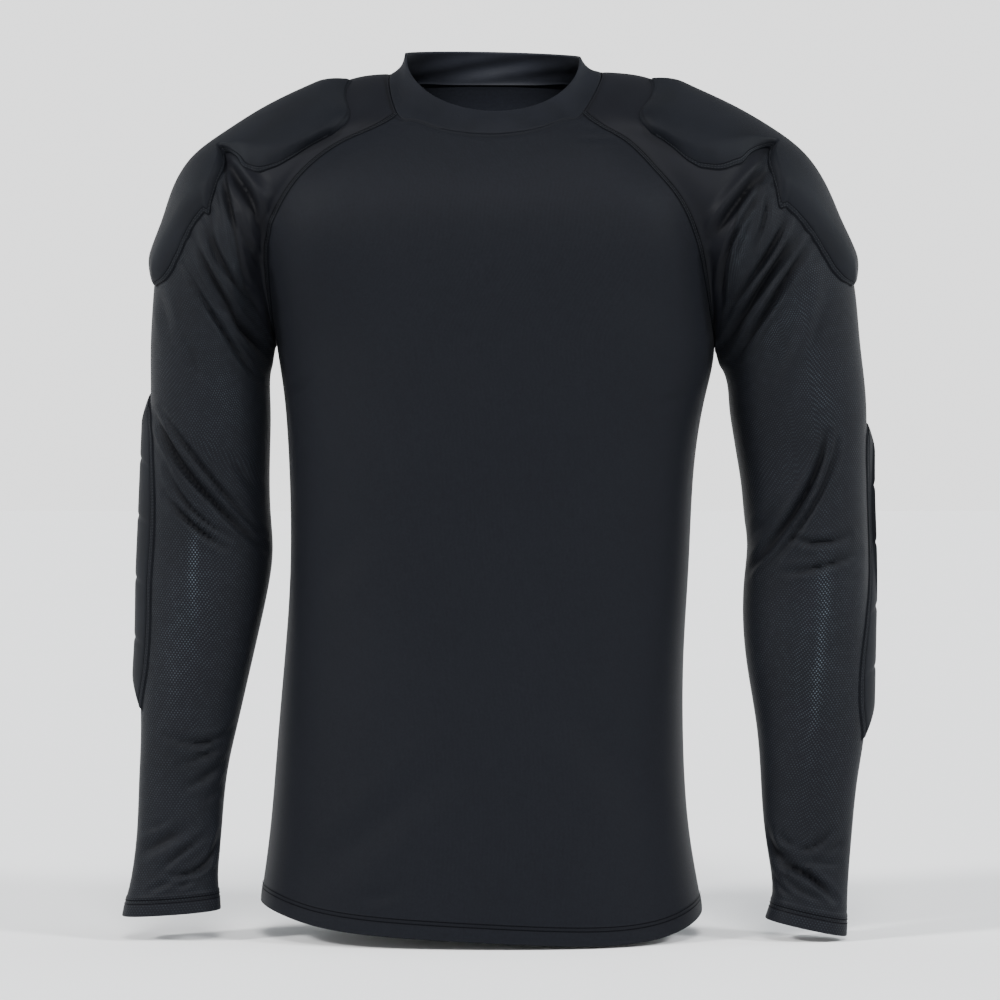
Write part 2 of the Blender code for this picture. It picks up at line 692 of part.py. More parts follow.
def reach_columns(charts, sleeve, row, reach, step):
    """Chart columns at given lengths along a ring, measured from the outer line of the arm."""
    half = ARM_COLUMNS / 2
    columns = half + step * np.linspace(0.0, half, ARM_COLUMNS * CELLS)
    points = sample(charts, sleeve, columns, np.full(len(columns), row))[0]
    lengths = np.concatenate(((0.0,), np.cumsum(np.linalg.norm(np.diff(points, axis=0), axis=1))))
    return np.interp(reach, lengths, columns)


def pad_mesh(charts, sleeve, outline, rows, height, slant=0.0, hump=0.0, grooves=()):
    """A domed pad on a sleeve. Shares run from its front edge at -1, over the arm's outer line, to 1."""
    stations = np.array([row.row for row in outline])
    shares = np.array(PAD_SHARES if len(grooves) == 0 else GROOVED_SHARES)
    front = np.interp(rows, stations, [row.front_reach for row in outline])
    back = np.interp(rows, stations, [row.back_reach for row in outline])
    reach = np.where(shares[:, None] < 0, front, back) * abs(shares[:, None])
    start = np.clip(1.0 - (rows - rows[0]) / HUMP_ROWS, 0.0, 1.0)
    along = rows - slant * shares[:, None] + hump * start * np.sin(np.pi * abs(shares[:, None]))
    across = np.empty_like(along)
    for (column, row), length in np.ndenumerate(reach):
        step = -1 if shares[column] < 0 else 1
        across[column, row] = reach_columns(charts, sleeve, along[column, row], length, step)
    points, normals = sample(charts, sleeve, across, along)
    spine = points[np.argmin(abs(shares))]
    length = np.concatenate(((0.0,), np.cumsum(np.linalg.norm(np.diff(spine, axis=0), axis=1))))
    to_side = np.where(shares[:, None] < 0, front, back) * (1 - abs(shares[:, None]))
    to_end = np.minimum(length, length[-1] - length)
    inward = np.clip(np.minimum(to_side, to_end) / PAD_ROUNDING, 0.0, 1.0)
    thick = PAD_EDGE + (height - PAD_EDGE) * np.sqrt(1.0 - (1.0 - inward) ** 2)
    for groove in grooves:
        thick[:, np.argmin(abs(rows - groove))] -= PAD_GROOVE * inward[:, np.argmin(abs(rows - groove))]
    inner = points + normals * PAD_CLEARANCE
    return cloth_wall(inner + normals * thick[..., None], inner)


def add_shoulder_pads(charts, parts):
    rows = np.array([station.row for station in SHOULDER_PAD])
    for side in ("right", "left"):
        mesh = pad_mesh(
            charts, "sleeve_" + side, SHOULDER_PAD, rows, SHOULDER_PAD_HEIGHT, hump=SHOULDER_HUMP
        )
        add_part(parts, "shoulder_pad_" + side, mesh, PAD_COLOR, PAD_ROUGHNESS)


def add_elbow_pads(charts, parts):
    for side, outline in ELBOW_PAD.items():
        first, last = outline[0].row, outline[-1].row
        rows = set(np.arange(math.ceil(first * 2) / 2, last, 0.5))
        rows |= {first, first + PAD_END_STEP, last - PAD_END_STEP, last}
        for groove in ELBOW_GROOVES[side]:
            rows |= {groove - GROOVE_HALF, groove, groove + GROOVE_HALF}
        mesh = pad_mesh(
            charts, "sleeve_" + side, outline, np.array(sorted(rows)), ELBOW_PAD_HEIGHT,
            slant=ELBOW_SLANT, grooves=ELBOW_GROOVES[side],
        )
        add_part(parts, "elbow_pad_" + side, mesh, PAD_COLOR, PAD_ROUGHNESS)


def new_collection(name):
    made = bpy.data.collections.new(name)
    bpy.context.scene.collection.children.link(made)
    return made


def main():
    for item in list(bpy.data.objects):
        bpy.data.objects.remove(item)
    guides = new_collection("guides")
    parts = new_collection("compression_shirt")
    charts = smooth_form(guides)
    add_body(charts, parts)
    add_sleeves(charts, parts)
    add_collar(charts, parts)
    add_shoulder_pads(charts, parts)
    add_elbow_pads(charts, parts)


main()
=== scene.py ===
# %% [markdown]
# A padded compression shirt. On the real thing, stretch jersey makes the body, fine staggered mesh makes
# the sleeves, and foam pads are sewn to the shoulders and elbows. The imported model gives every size, so
# loading it comes first, and each piece below is laid on the same form.

# %% Load the frame
import math
from collections import namedtuple

import bmesh
import bpy
import numpy as np
from mathutils import Matrix, Vector


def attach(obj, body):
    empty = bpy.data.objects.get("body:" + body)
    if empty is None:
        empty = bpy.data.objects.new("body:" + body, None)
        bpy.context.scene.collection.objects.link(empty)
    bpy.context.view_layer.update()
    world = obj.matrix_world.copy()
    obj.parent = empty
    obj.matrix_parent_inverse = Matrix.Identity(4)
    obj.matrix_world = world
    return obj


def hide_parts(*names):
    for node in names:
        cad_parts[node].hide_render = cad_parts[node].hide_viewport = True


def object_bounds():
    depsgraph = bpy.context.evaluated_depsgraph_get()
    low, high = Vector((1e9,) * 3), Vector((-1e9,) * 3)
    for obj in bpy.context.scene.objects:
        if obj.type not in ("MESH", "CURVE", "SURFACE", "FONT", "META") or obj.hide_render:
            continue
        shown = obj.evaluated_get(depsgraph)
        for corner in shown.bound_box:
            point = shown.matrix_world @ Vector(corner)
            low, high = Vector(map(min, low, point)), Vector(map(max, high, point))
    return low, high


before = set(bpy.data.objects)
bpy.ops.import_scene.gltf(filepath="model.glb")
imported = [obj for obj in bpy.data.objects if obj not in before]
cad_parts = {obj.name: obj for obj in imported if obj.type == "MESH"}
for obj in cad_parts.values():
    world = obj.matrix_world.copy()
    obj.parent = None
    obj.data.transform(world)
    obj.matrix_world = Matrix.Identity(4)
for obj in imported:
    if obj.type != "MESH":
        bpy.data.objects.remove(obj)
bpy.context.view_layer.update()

# %% [markdown]
# The camera stands straight in front, three metres away, level with the middle of the shirt. A long lens
# keeps the sleeves and the body in nearly the same scale, as in a catalogue picture.

# %% Camera
MIDDLE_OUT = 0.0042
MIDDLE_UP = -0.3486
VIEW_DISTANCE = 3.0
VIEW_WIDTH = 0.84
SENSOR = 36.0


def add_object(name, data):
    """A new object in the scene, from a mesh, a light or a camera."""
    made = bpy.data.objects.new(name, data)
    bpy.context.scene.collection.objects.link(made)
    return made


camera_data = bpy.data.cameras.new("catalogue_camera")
camera_data.sensor_width = SENSOR
camera_data.lens = SENSOR * VIEW_DISTANCE / VIEW_WIDTH
camera = add_object("catalogue_camera", camera_data)
camera.location = (MIDDLE_OUT, -VIEW_DISTANCE, MIDDLE_UP)
camera.rotation_euler = (math.radians(90), 0, 0)
bpy.context.scene.camera = camera
print("lens in millimetres:", round(camera_data.lens, 1))

# %% [markdown]
# All cloth on the shirt follows one smooth form. It could be sculpted, but a coarse cage of measured
# points is easier to correct: each row below is a level of the body or a ring of the arm, in
# millimetres, seen from the front. "Out" is X, "up" is Z and "deep" is Y, with the chest towards -Y.

# %% Levels of the body
MM = 0.001
BODY_COLUMNS = 8
ARM_COLUMNS = 14
SQUARENESS = 0.87


def rows_of(columns, *rows):
    """A table whose columns have names."""
    named = namedtuple("Row", columns)
    return [named(*row) for row in rows]


# From the hem up to the underarm: the side seams, then the middle of the front and of the back. Above
# the hem a row bows evenly; the hem's own two rows run flatter, and hang lower on the wearer's left.
BODY_RINGS = rows_of(
    "right_out right_up left_out left_up front_deep front_up back_deep back_up",
    (-195.9, -684, 173, -693, -113, -707, 105, -703),
    (-194.3, -668, 171.5, -677, -112.5, -691, 104.5, -687),
    (-188, -618, 162.5, -622, -110, -630, 102, -628),
    (-182, -545, 158, -548, -106, -552, 98, -552),
    (-175.8, -472, 158.5, -474, -104, -476, 95, -476),
    (-171.6, -398, 162.8, -400, -105, -400, 95, -400),
    (-172.8, -318, 167, -322, -110, -318, 99, -320),
    (-177.3, -258, 176.5, -262, -113.5, -256, 104, -258),
    (-183.4, -216, 184.5, -220, -115, -212, 107, -214),
)
UNDERARM_ROW = len(BODY_RINGS) - 1
HEM_ROWS = 2
HEM_BOW = 5.0
ROW_BOW = 2.0
HEM_SKEW = 3.0

# Above the underarm, up to the neck seam: the middle of the front and of the back, and how far the row
# turns towards the side before a raglan seam cuts it off, in degrees.
YOKE_ROWS = rows_of(
    "front_deep front_up back_deep back_up turn",
    (-116, -168, 108, -165, 76),
    (-115, -134, 105, -121, 68),
    (-111, -110, 99, -83, 62),
    (-103, -90, 90, -47, 58),
    (-92, -71, 77, -14, 56),
    (-77, -49, 61, 8, 54),
)
BODY_ROWS = UNDERARM_ROW + len(YOKE_ROWS)

# %% [markdown]
# The raglan seams run from the underarm to the neck. Front and back are sewn to the sleeves along them,
# so both sides use the same points and the pieces meet.

# %% Raglan seams
RAGLAN_COLUMNS = "front_out front_up front_deep back_out back_up back_deep"
RAGLAN = {
    "right": rows_of(
        RAGLAN_COLUMNS,
        (-188, -168, -48, -180, -163, 55),
        (-186, -129, -70, -168, -120, 74),
        (-173.5, -100, -75, -153, -84, 77),
        (-155, -76, -73, -134, -52, 72),
        (-123, -52, -66, -107, -20, 60),
        (-81, -29, -52, -76, 8, 40),
    ),
    "left": rows_of(
        RAGLAN_COLUMNS,
        (175, -167, -50, 187, -163, 55),
        (165, -129, -70, 181, -120, 74),
        (151, -100, -75, 166, -84, 77),
        (131, -76, -73, 147, -52, 72),
        (106, -51, -66, 116, -20, 60),
        (73, -28, -52, 75, 8, 40),
    ),
}
NECK_SIDE = {"right": (-89.0, -5.0, 7.0), "left": (90.0, -5.0, 9.0)}

# %% [markdown]
# A sleeve is a tube of rings. Near the seam each ring keeps part of the seam's own shape, and lower down
# it is a plain rounded section around the arm.

# %% Rings of the sleeves
RING_COLUMNS = "over_out over_up under_out under_up front_deep back_deep seam"
ARM_RINGS = {
    "right": rows_of(
        RING_COLUMNS,
        (-119, 4, -183.9, -218, -75, 80, 0.93),
        (-153, -8.5, -184.3, -221, -77, 82, 0.82),
        (-190, -26, -184.8, -224, -76, 81, 0.68),
        (-223, -46.5, -185.4, -227.5, -73, 77, 0.52),
        (-249, -66.5, -186, -231.5, -69, 72, 0.36),
        (-264, -92, -187, -236.5, -65, 67, 0.22),
        (-272.5, -118, -188.5, -243, -61, 63, 0.11),
        (-283, -148, -189, -254, -58, 60, 0.05),
        (-287, -182, -188.6, -268, -56, 57, 0),
        (-289, -220, -188.4, -286, -54, 55, 0),
        (-289, -260, -189, -309, -52, 54, 0),
        (-290, -300, -189.3, -335, -50, 53, 0),
        (-291.5, -340, -188.3, -362, -49, 51, 0),
        (-293, -380, -186.6, -390, -49, 47, 0),
        (-294.2, -420, -190, -421, -50, 42, 0),
        (-294.5, -462, -197.8, -459, -52, 35, 0),
        (-296, -502, -205.5, -494, -55, 27, 0),
        (-295.3, -543, -215, -537, -58, 17, 0),
        (-296.2, -582, -223.2, -578, -60, 7, 0),
        (-297.5, -625, -227, -622, -62, -3, 0),
        (-301.5, -660, -229.5, -655, -63, -10, 0),
        (-305, -676, -229, -670, -64, -13, 0),
        (-308.5, -693, -227.8, -687.5, -64, -15, 0),
    ),
    "left": rows_of(
        RING_COLUMNS,
        (128, 5, 184.9, -222.5, -75, 80, 0.92),
        (160, -8, 185.4, -225, -77, 82, 0.82),
        (196, -24.5, 186.1, -228, -76, 81, 0.68),
        (229, -43.5, 187.1, -231.5, -73, 77, 0.52),
        (255.5, -64.5, 188.5, -235.5, -69, 72, 0.36),
        (273, -92, 191.5, -240.5, -65, 67, 0.22),
        (284, -118, 194, -247, -61, 63, 0.11),
        (297, -148, 195.8, -257, -58, 60, 0.05),
        (303.3, -182, 197, -272, -56, 57, 0),
        (306.8, -220, 199.5, -290, -54, 55, 0),
        (311.2, -260, 203, -311, -52, 54, 0),
        (312, -300, 207, -337, -50, 53, 0),
        (312, -340, 209.5, -364, -49, 51, 0),
        (313, -380, 211.6, -388, -49, 47, 0),
        (313.3, -420, 208.5, -421, -50, 42, 0),
        (312, -462, 208.3, -460, -52, 35, 0),
        (310.5, -502, 212.3, -497, -55, 27, 0),
        (308, -543, 218.5, -539, -58, 17, 0),
        (301.5, -582, 221.3, -580, -60, 7, 0),
        (296.5, -625, 223.8, -620, -62, -3, 0),
        (293, -664, 228.8, -655, -63, -10, 0),
        (291.8, -691, 229.5, -677, -64, -13, 0),
        (291, -709.5, 224.5, -695, -64, -15, 0),
    ),
}
ARM_ROWS = len(ARM_RINGS["right"])
CUFF_LINE = ARM_ROWS - 1

# %% [markdown]
# The functions below turn a row and a column of a panel into a point. The middle of a row bulges towards
# the chest or the back, and the ends stay on the seams.

# %% Points of the body
def mix(a, b, share):
    return a + (b - a) * share


def smooth_step(low, high, value):
    share = np.clip((value - low) / (high - low), 0.0, 1.0)
    return share * share * (3.0 - 2.0 * share)


def ridge(distance, width):
    """1 where the distance is 0, falling softly to nothing over about that width."""
    return np.exp(-((distance / width) ** 2))


def unit(vectors):
    return vectors / np.linalg.norm(vectors, axis=-1, keepdims=True)


def point(out, deep, up):
    return np.array((out, deep, up), dtype=float)


def side_seam(side, row):
    ring = BODY_RINGS[row]
    return point(getattr(ring, side + "_out"), 0.0, getattr(ring, side + "_up"))


def raglan(side, face, step):
    """A point on the raglan seam, from the underarm at step 0 up to the neck."""
    if step == 0:
        return side_seam(side, UNDERARM_ROW)
    row = RAGLAN[side][step - 1]
    return point(*(getattr(row, f"{face}_{axis}") for axis in ("out", "deep", "up")))


def body_ends(face, row):
    """The two ends of a row of the front or the back, its middle depth and height, and its turn."""
    step = row - UNDERARM_ROW
    level = BODY_RINGS[row] if step <= 0 else YOKE_ROWS[step - 1]
    middle = [getattr(level, f"{face}_{axis}") for axis in ("deep", "up")]
    if step <= 0:
        return side_seam("right", row), side_seam("left", row), middle, 90.0
    return raglan("right", face, step), raglan("left", face, step), middle, level.turn


def body_point(face, column, row):
    """A point of the front or back panel: column 0 is on the wearer's right."""
    right, left, (deep, up), turn = body_ends(face, row)
    if column == 0:
        return right
    if column == BODY_COLUMNS:
        return left
    share = 2.0 * column / BODY_COLUMNS - 1.0
    angle = math.radians(turn)
    across = (abs(math.sin(share * angle)) / math.sin(angle)) ** SQUARENESS
    edge = math.cos(angle) ** SQUARENESS if turn < 90 else 0.0
    bulge = (math.cos(share * angle) ** SQUARENESS - edge) / (1.0 - edge)
    along = 0.5 + 0.5 * math.copysign(across, share)
    end = mix(right, left, along)
    lift = up - (right[2] + left[2]) / 2
    bow, skew = (HEM_BOW, HEM_SKEW) if row < HEM_ROWS else (ROW_BOW, 0.0)
    height = end[2] + lift * (1.0 - across**bow) - skew * math.sin(math.pi * share)
    return point(end[0], mix(end[1], deep, bulge), height)


# %% Points of the sleeves
def seam_loop(side, column):
    """The loop that a sleeve is sewn to: up the front raglan, over the neck side, down the back."""
    half = ARM_COLUMNS // 2
    if column == half:
        return point(*NECK_SIDE[side])
    if column < half:
        return raglan(side, "front", column)
    return raglan(side, "back", ARM_COLUMNS - column)


def split_along(side, column):
    """How far a seam loop point lies along the line from underarm to neck side, and its bow off it."""
    loop, under = seam_loop(side, column), side_seam(side, UNDERARM_ROW)
    axis = (point(*NECK_SIDE[side]) - under)[[0, 2]]
    away = (loop - under)[[0, 2]]
    length = np.dot(axis, axis)
    bow = (axis[0] * away[1] - axis[1] * away[0]) / math.sqrt(length)
    return np.dot(away, axis) / length, bow


def arm_point(side, column, row):
    """A point of a sleeve: column 0 is on the underarm seam, and the front comes before the back."""
    column %= ARM_COLUMNS
    loop = seam_loop(side, column)
    if row == 0:
        return loop
    ring = ARM_RINGS[side][row - 1]
    widest = RAGLAN[side][2]
    reach, loop_reach = ring.back_deep, widest.back_deep
    if column * 2 < ARM_COLUMNS:
        reach, loop_reach = ring.front_deep, widest.front_deep
    angle = 2.0 * math.pi * column / ARM_COLUMNS
    loop_along, bow = split_along(side, column)
    along = mix((1.0 - math.cos(angle)) / 2, loop_along, ring.seam)
    swell = mix(abs(math.sin(angle)) ** SQUARENESS, min(loop[1] / loop_reach, 1.0), ring.seam)
    middle = (ring.front_deep + ring.back_deep) / 2
    if column * 2 in (0, ARM_COLUMNS):
        swell = 0.0
    under = np.array((ring.under_out, ring.under_up))
    axis = np.array((ring.over_out, ring.over_up)) - under
    sideways = np.array((-axis[1], axis[0])) / np.linalg.norm(axis)
    out, up = under + axis * along + sideways * bow * ring.seam
    return point(out, mix(middle, reach, swell), up)


# %% [markdown]
# The four panels are made as coarse grids and merged along their seams. A Subdivision Surface modifier
# smooths such a cage, but it also shrinks it, so the cage is moved out until the smooth surface passes
# through the measured points again. The chart, a UV map, remembers where each point lies on its panel.

# %% The coarse cage
REFINE = 4
CELLS = 2**REFINE
FIT_ROUNDS = 6
CAGE_WELD = 0.00001
PANELS = {
    "front_panel": (BODY_COLUMNS, BODY_ROWS, lambda c, r: body_point("front", c, r)),
    "back_panel": (BODY_COLUMNS, BODY_ROWS, lambda c, r: body_point("back", c, r)),
    "sleeve_right": (ARM_COLUMNS, ARM_ROWS, lambda c, r: arm_point("right", c, r)),
    "sleeve_left": (ARM_COLUMNS, ARM_ROWS, lambda c, r: arm_point("left", c, r)),
}


def mesh_of(bm, name):
    """Turns a bmesh into a mesh and frees the bmesh."""
    mesh = bpy.data.meshes.new(name)
    bm.to_mesh(mesh)
    bm.free()
    return mesh


def cage_mesh():
    """All panels as coarse grids, welded along their seams. A face's material number is its panel."""
    bm = bmesh.new()
    chart = bm.loops.layers.uv.new("chart")
    for number, (columns, rows, place) in enumerate(PANELS.values()):
        made = bmesh.ops.create_grid(bm, x_segments=columns, y_segments=rows, size=1)
        spots = {}
        for index, vertex in enumerate(made["verts"]):
            row, column = divmod(index, columns + 1)
            spots[vertex] = (column, row)
            vertex.co = place(column, row) * MM
        faces = {face for vertex in made["verts"] for face in vertex.link_faces}
        for face in faces:
            face.material_index = number
            for loop in face.loops:
                loop[chart].uv = spots[loop.vert]
    bmesh.ops.remove_doubles(bm, verts=bm.verts, dist=CAGE_WELD)
    bmesh.ops.recalc_face_normals(bm, faces=bm.faces)
    return mesh_of(bm, "cage")


# %% Fit and read the smooth form
def refined(guide):
    depsgraph = bpy.context.evaluated_depsgraph_get()
    depsgraph.update()
    return guide.evaluated_get(depsgraph).to_mesh()


def positions(mesh, kind="vertices"):
    values = np.empty(len(mesh.vertices) * 3)
    if kind == "vertices":
        mesh.vertices.foreach_get("co", values)
    else:
        mesh.vertex_normals.foreach_get("vector", values)
    return values.reshape(-1, 3)


def fit_cage(guide, smooth):
    """Moves the cage until its smooth surface runs through the points of the tables."""
    wanted = positions(guide.data)
    cage = wanted.copy()
    smooth.levels = smooth.render_levels = 1
    for _ in range(FIT_ROUNDS):
        cage += wanted - positions(refined(guide))[: len(wanted)]
        guide.data.vertices.foreach_set("co", cage.ravel())
        guide.data.update()
    smooth.levels = smooth.render_levels = REFINE


def chart_panels(mesh):
    """The refined surface as one grid of points and normals for each panel."""
    points, normals = positions(mesh), positions(mesh, "normals")
    corners = np.empty(len(mesh.loops), dtype=int)
    mesh.loops.foreach_get("vertex_index", corners)
    chart = np.empty(len(mesh.loops) * 2)
    mesh.uv_layers[0].data.foreach_get("uv", chart)
    cells = np.rint(chart.reshape(-1, 2) * CELLS).astype(int)
    numbers = np.empty(len(mesh.polygons), dtype=int)
    mesh.polygons.foreach_get("material_index", numbers)
    owners = np.repeat(numbers, 4)
    charts = {}
    for number, (name, (columns, rows, _)) in enumerate(PANELS.items()):
        mine = owners == number
        grid = np.zeros((2, columns * CELLS + 1, rows * CELLS + 1, 3))
        across, along = cells[mine].T
        grid[0, across, along] = points[corners[mine]]
        grid[1, across, along] = normals[corners[mine]]
        charts[name] = grid
    return charts


# %% Make the form
def smooth_form():
    guide = add_object("form_guide", cage_mesh())
    smooth = guide.modifiers.new("smooth", "SUBSURF")
    smooth.uv_smooth = "NONE"
    fit_cage(guide, smooth)
    made = chart_panels(refined(guide))
    bpy.data.objects.remove(guide)
    return made


charts = smooth_form()
for name, grid in charts.items():
    print(name, "has", grid.shape[1], "by", grid.shape[2], "points")


# %% [markdown]
# Every later piece asks the form for points between its grid lines. Reading them from the grid is quick,
# so a piece can be much finer than the cage.

# %% Find a place on the form
def sample(charts, panel, column, row):
    """The point and normal of a panel at any place on its chart, in millimetres."""
    grid = charts[panel]
    across = np.clip(np.asarray(column) * CELLS, 0, grid.shape[1] - 1)
    along = np.clip(np.asarray(row) * CELLS, 0, grid.shape[2] - 1)
    left = np.minimum(across.astype(int), grid.shape[1] - 2)
    low = np.minimum(along.astype(int), grid.shape[2] - 2)
    x, y = (across - left)[..., None], (along - low)[..., None]
    mixed = mix(
        mix(grid[:, left, low], grid[:, left + 1, low], x),
        mix(grid[:, left, low + 1], grid[:, left + 1, low + 1], x),
        y,
    )
    return mixed[0] / MM, unit(mixed[1])


# %% [markdown]
# Tight sleeves crease where the arm bends and where a pad holds the cloth. A cloth simulation would
# crease them somewhere else, so each crease is given as a soft trough with raised banks: its start,
# middle and end, its half-width and its depth. A negative depth is a ridge.

# %% Creases
FOLDS = rows_of(
    "start_out start_up mid_out mid_up end_out end_up width depth",
    # on the wearer's right sleeve
    (-225, -64, -203, -98, -190, -131, 4.3, 6.2),
    (-222, -62, -201, -85, -184, -106, 4.3, -2.8),
    (-225, -68, -219, -107, -205, -171, 2.4, 3),
    (-211, -118, -202, -139, -193, -159, 2.6, 2.8),
    (-228, -70, -214, -120, -190, -178, 2.4, 2.0),
    (-253, -140, -232, -182, -192, -222, 2.4, 2.0),
    (-235, -111, -225, -152, -197, -188, 2.9, 4.2),
    (-242, -116, -236, -134, -228, -154, 2.4, 2.8),
    (-250, -132, -223, -183, -188, -231, 3.2, 5),
    (-258, -153, -226, -206, -197, -248, 2.4, 3.5),
    (-280, -175, -274, -195, -269, -214, 4.3, 1.5),
    (-255, -218, -249, -235, -242, -250, 3.6, 1.5),
    (-284, -277, -246, -335, -189, -391, 2.9, 5.5),
    (-278, -273, -238, -326, -192, -378, 2.4, 3.8),
    (-278, -291, -260, -322, -239, -346, 2.4, 3.5),
    (-273, -321, -253, -354, -219, -380, 2.4, 3.8),
    (-273, -345, -250, -369, -223, -388, 2.9, 4.8),
    (-219, -313, -207, -330, -195, -345, 3.6, 2),
    (-272, -542, -240, -549, -215, -537, 2.9, 3),
    (-263, -568, -237, -558, -219, -548, 2.4, 2.4),
    (-258, -587, -239, -577, -222, -565, 2.9, 2.8),
    (-240, -595, -231, -590, -224, -585, 2.4, 1.8),
    (-287, -618, -277, -617, -267, -612, 2.4, 1.6),
    (-292, -640, -273, -629, -251, -618, 4.3, 3.5),
    (-276, -654, -257, -638, -237, -624, 2.6, 2.9),
    (-272, -657, -241, -651, -226, -623, 2.6, 3.5),
    (-284, -670, -273, -665, -265, -662, 2.4, 1.8),
    (-261, -667, -254, -664, -249, -660, 2.4, 1.8),
    # on the left sleeve
    (224, -74, 200, -103, 178, -135, 4.3, 6.2),
    (221, -69, 194, -97, 174, -127, 4.3, -2.5),
    (224, -78, 215, -97, 203, -119, 2.4, 3),
    (221, -93, 192, -142, 188, -186, 2.4, 3.5),
    (224, -94, 221, -119, 212, -143, 2.4, 2.8),
    (227, -76, 206, -128, 186, -174, 2.4, 2.0),
    (250, -120, 228, -158, 196, -204, 2.4, 1.8),
    (241, -113, 221, -152, 193, -193, 2.9, 4.2),
    (244, -116, 231, -139, 217, -160, 2.4, 2.5),
    (254, -127, 221, -172, 190, -222, 3.5, 5.5),
    (260, -137, 231, -181, 200, -233, 3.2, 5),
    (269, -162, 255, -211, 235, -261, 5, -2.8),
    (274, -293, 256, -345, 209, -409, 3.1, 6),
    (283, -299, 264, -352, 220, -411, 2.4, 3.6),
    (232, -351, 223, -366, 212, -379, 3.6, 1.9),
    (245, -380, 270, -384, 293, -377, 2.9, 3.5),
    (239, -408, 269, -404, 303, -392, 2.9, 3.5),
    (291, -415, 297, -414, 303, -411, 2.4, 1.2),
    (235, -624, 240, -630, 249, -631, 2.4, 2.2),
    (247, -636, 264, -633, 278, -620, 2.9, 3),
    (254, -645, 269, -647, 284, -648, 2.4, 2.2),
    (224, -620, 229, -638, 250, -649, 4.3, 4.2),
    (234, -650, 258, -658, 280, -678, 2.9, 5.2),
    (236, -658, 252, -670, 270, -678, 2.4, 2.2),
    (274, -638, 281, -634, 287, -629, 2.4, 1.8),
    (230, -658, 235, -667, 242, -672, 2.4, 1.8),
    # on the body
    (70, -43, 80, -44, 90, -44, 2.4, 1),
    (70, -52, 85, -52, 99, -51, 2.4, 1),
    (-171, -262, -160, -256, -150, -247, 2.9, 1.8),
    (-155, -430, -133, -400, -108, -372, 13, 1.5),
    (-40, -566, -93, -610, -144, -655, 12, 1.6),
    (-105, -673, -92, -670, -79, -666, 4.3, 1.2),
    (158, -262, 142, -268, 127, -270, 3.6, 1.1),
    (53, -513, 94, -562, 131, -629, 14, 1.1),
)
BACK_FOLD_DROP = 7.0
BACK_FOLD_NARROWING = 0.97
BACK_FOLD_DEPTH = 0.8
FOLD_STEPS = 12
FOLD_REACH = 4.0
FOLD_SHARPNESS = 1.5
FOLD_ENDS = 0.03
FOLD_FADE = 0.6
BANK_HEIGHT = 0.36
BANK_PLACE = 2.0
BANK_WIDTH = 0.75


def back_fold(fold):
    """A fold behind the other sleeve: like one of the front, but lower, shallower and mirrored."""
    moved = {"depth": fold.depth * BACK_FOLD_DEPTH}
    for end in ("start", "mid", "end"):
        moved[end + "_out"] = getattr(fold, end + "_out") * -BACK_FOLD_NARROWING
        moved[end + "_up"] = getattr(fold, end + "_up") - BACK_FOLD_DROP
    return fold._replace(**moved)


# %% Depth of a crease at any point
def fold_path(fold):
    """Points along a crease's curve, and its strength there, which fades towards both ends."""
    share = np.linspace(0.0, 1.0, FOLD_STEPS)
    start = np.array((fold.start_out, fold.start_up))
    middle = np.array((fold.mid_out, fold.mid_up))
    end = np.array((fold.end_out, fold.end_up))
    handle = 2 * middle - (start + end) / 2
    strength = np.sin(np.pi * np.clip(share, FOLD_ENDS, 1 - FOLD_ENDS)) ** FOLD_FADE
    share = share[:, None]
    return mix(mix(start, handle, share), mix(handle, end, share), share), strength


def fold_depth(spots, fold):
    """How far a crease moves each spot inwards, in millimetres."""
    path, strength = fold_path(fold)
    nearest = np.full(len(spots), np.inf)
    power = np.zeros(len(spots))
    for index in range(FOLD_STEPS - 1):
        step = path[index + 1] - path[index]
        share = np.clip((spots - path[index]) @ step / (step @ step), 0.0, 1.0)
        distance = np.linalg.norm(spots - path[index] - share[:, None] * step, axis=1)
        closer = distance < nearest
        nearest = np.where(closer, distance, nearest)
        power = np.where(closer, mix(strength[index], strength[index + 1], share), power)
    across = nearest / fold.width
    bank = BANK_HEIGHT * ridge(across - BANK_PLACE, BANK_WIDTH)
    return fold.depth * power * (np.exp(-(across**FOLD_SHARPNESS)) - bank)


# %% Press the creases into a surface
FACING = (0.05, 0.45)


def folded(points, normals):
    """Moves points into the creases of the side that they face."""
    moved = points.copy()
    spots = points[..., [0, 2]]
    for fold in FOLDS:
        for shape, side in ((fold, -1.0), (back_fold(fold), 1.0)):
            path = fold_path(shape)[0]
            reach = FOLD_REACH * shape.width
            low, high = path.min(axis=0) - reach, path.max(axis=0) + reach
            near = np.all((spots > low) & (spots < high), axis=-1)
            near &= side * normals[..., 1] > FACING[0]
            if near.any():
                facing = smooth_step(*FACING, side * normals[near][:, 1])
                moved[near] -= normals[near] * (fold_depth(spots[near], shape) * facing)[:, None]
    return moved


# %% [markdown]
# Shader sums are easier to read as Python than as a web of Math nodes. This class wraps one output of a
# node, so a sum or a product in Python adds its Math node behind the scenes. Every other node comes from
# one method.

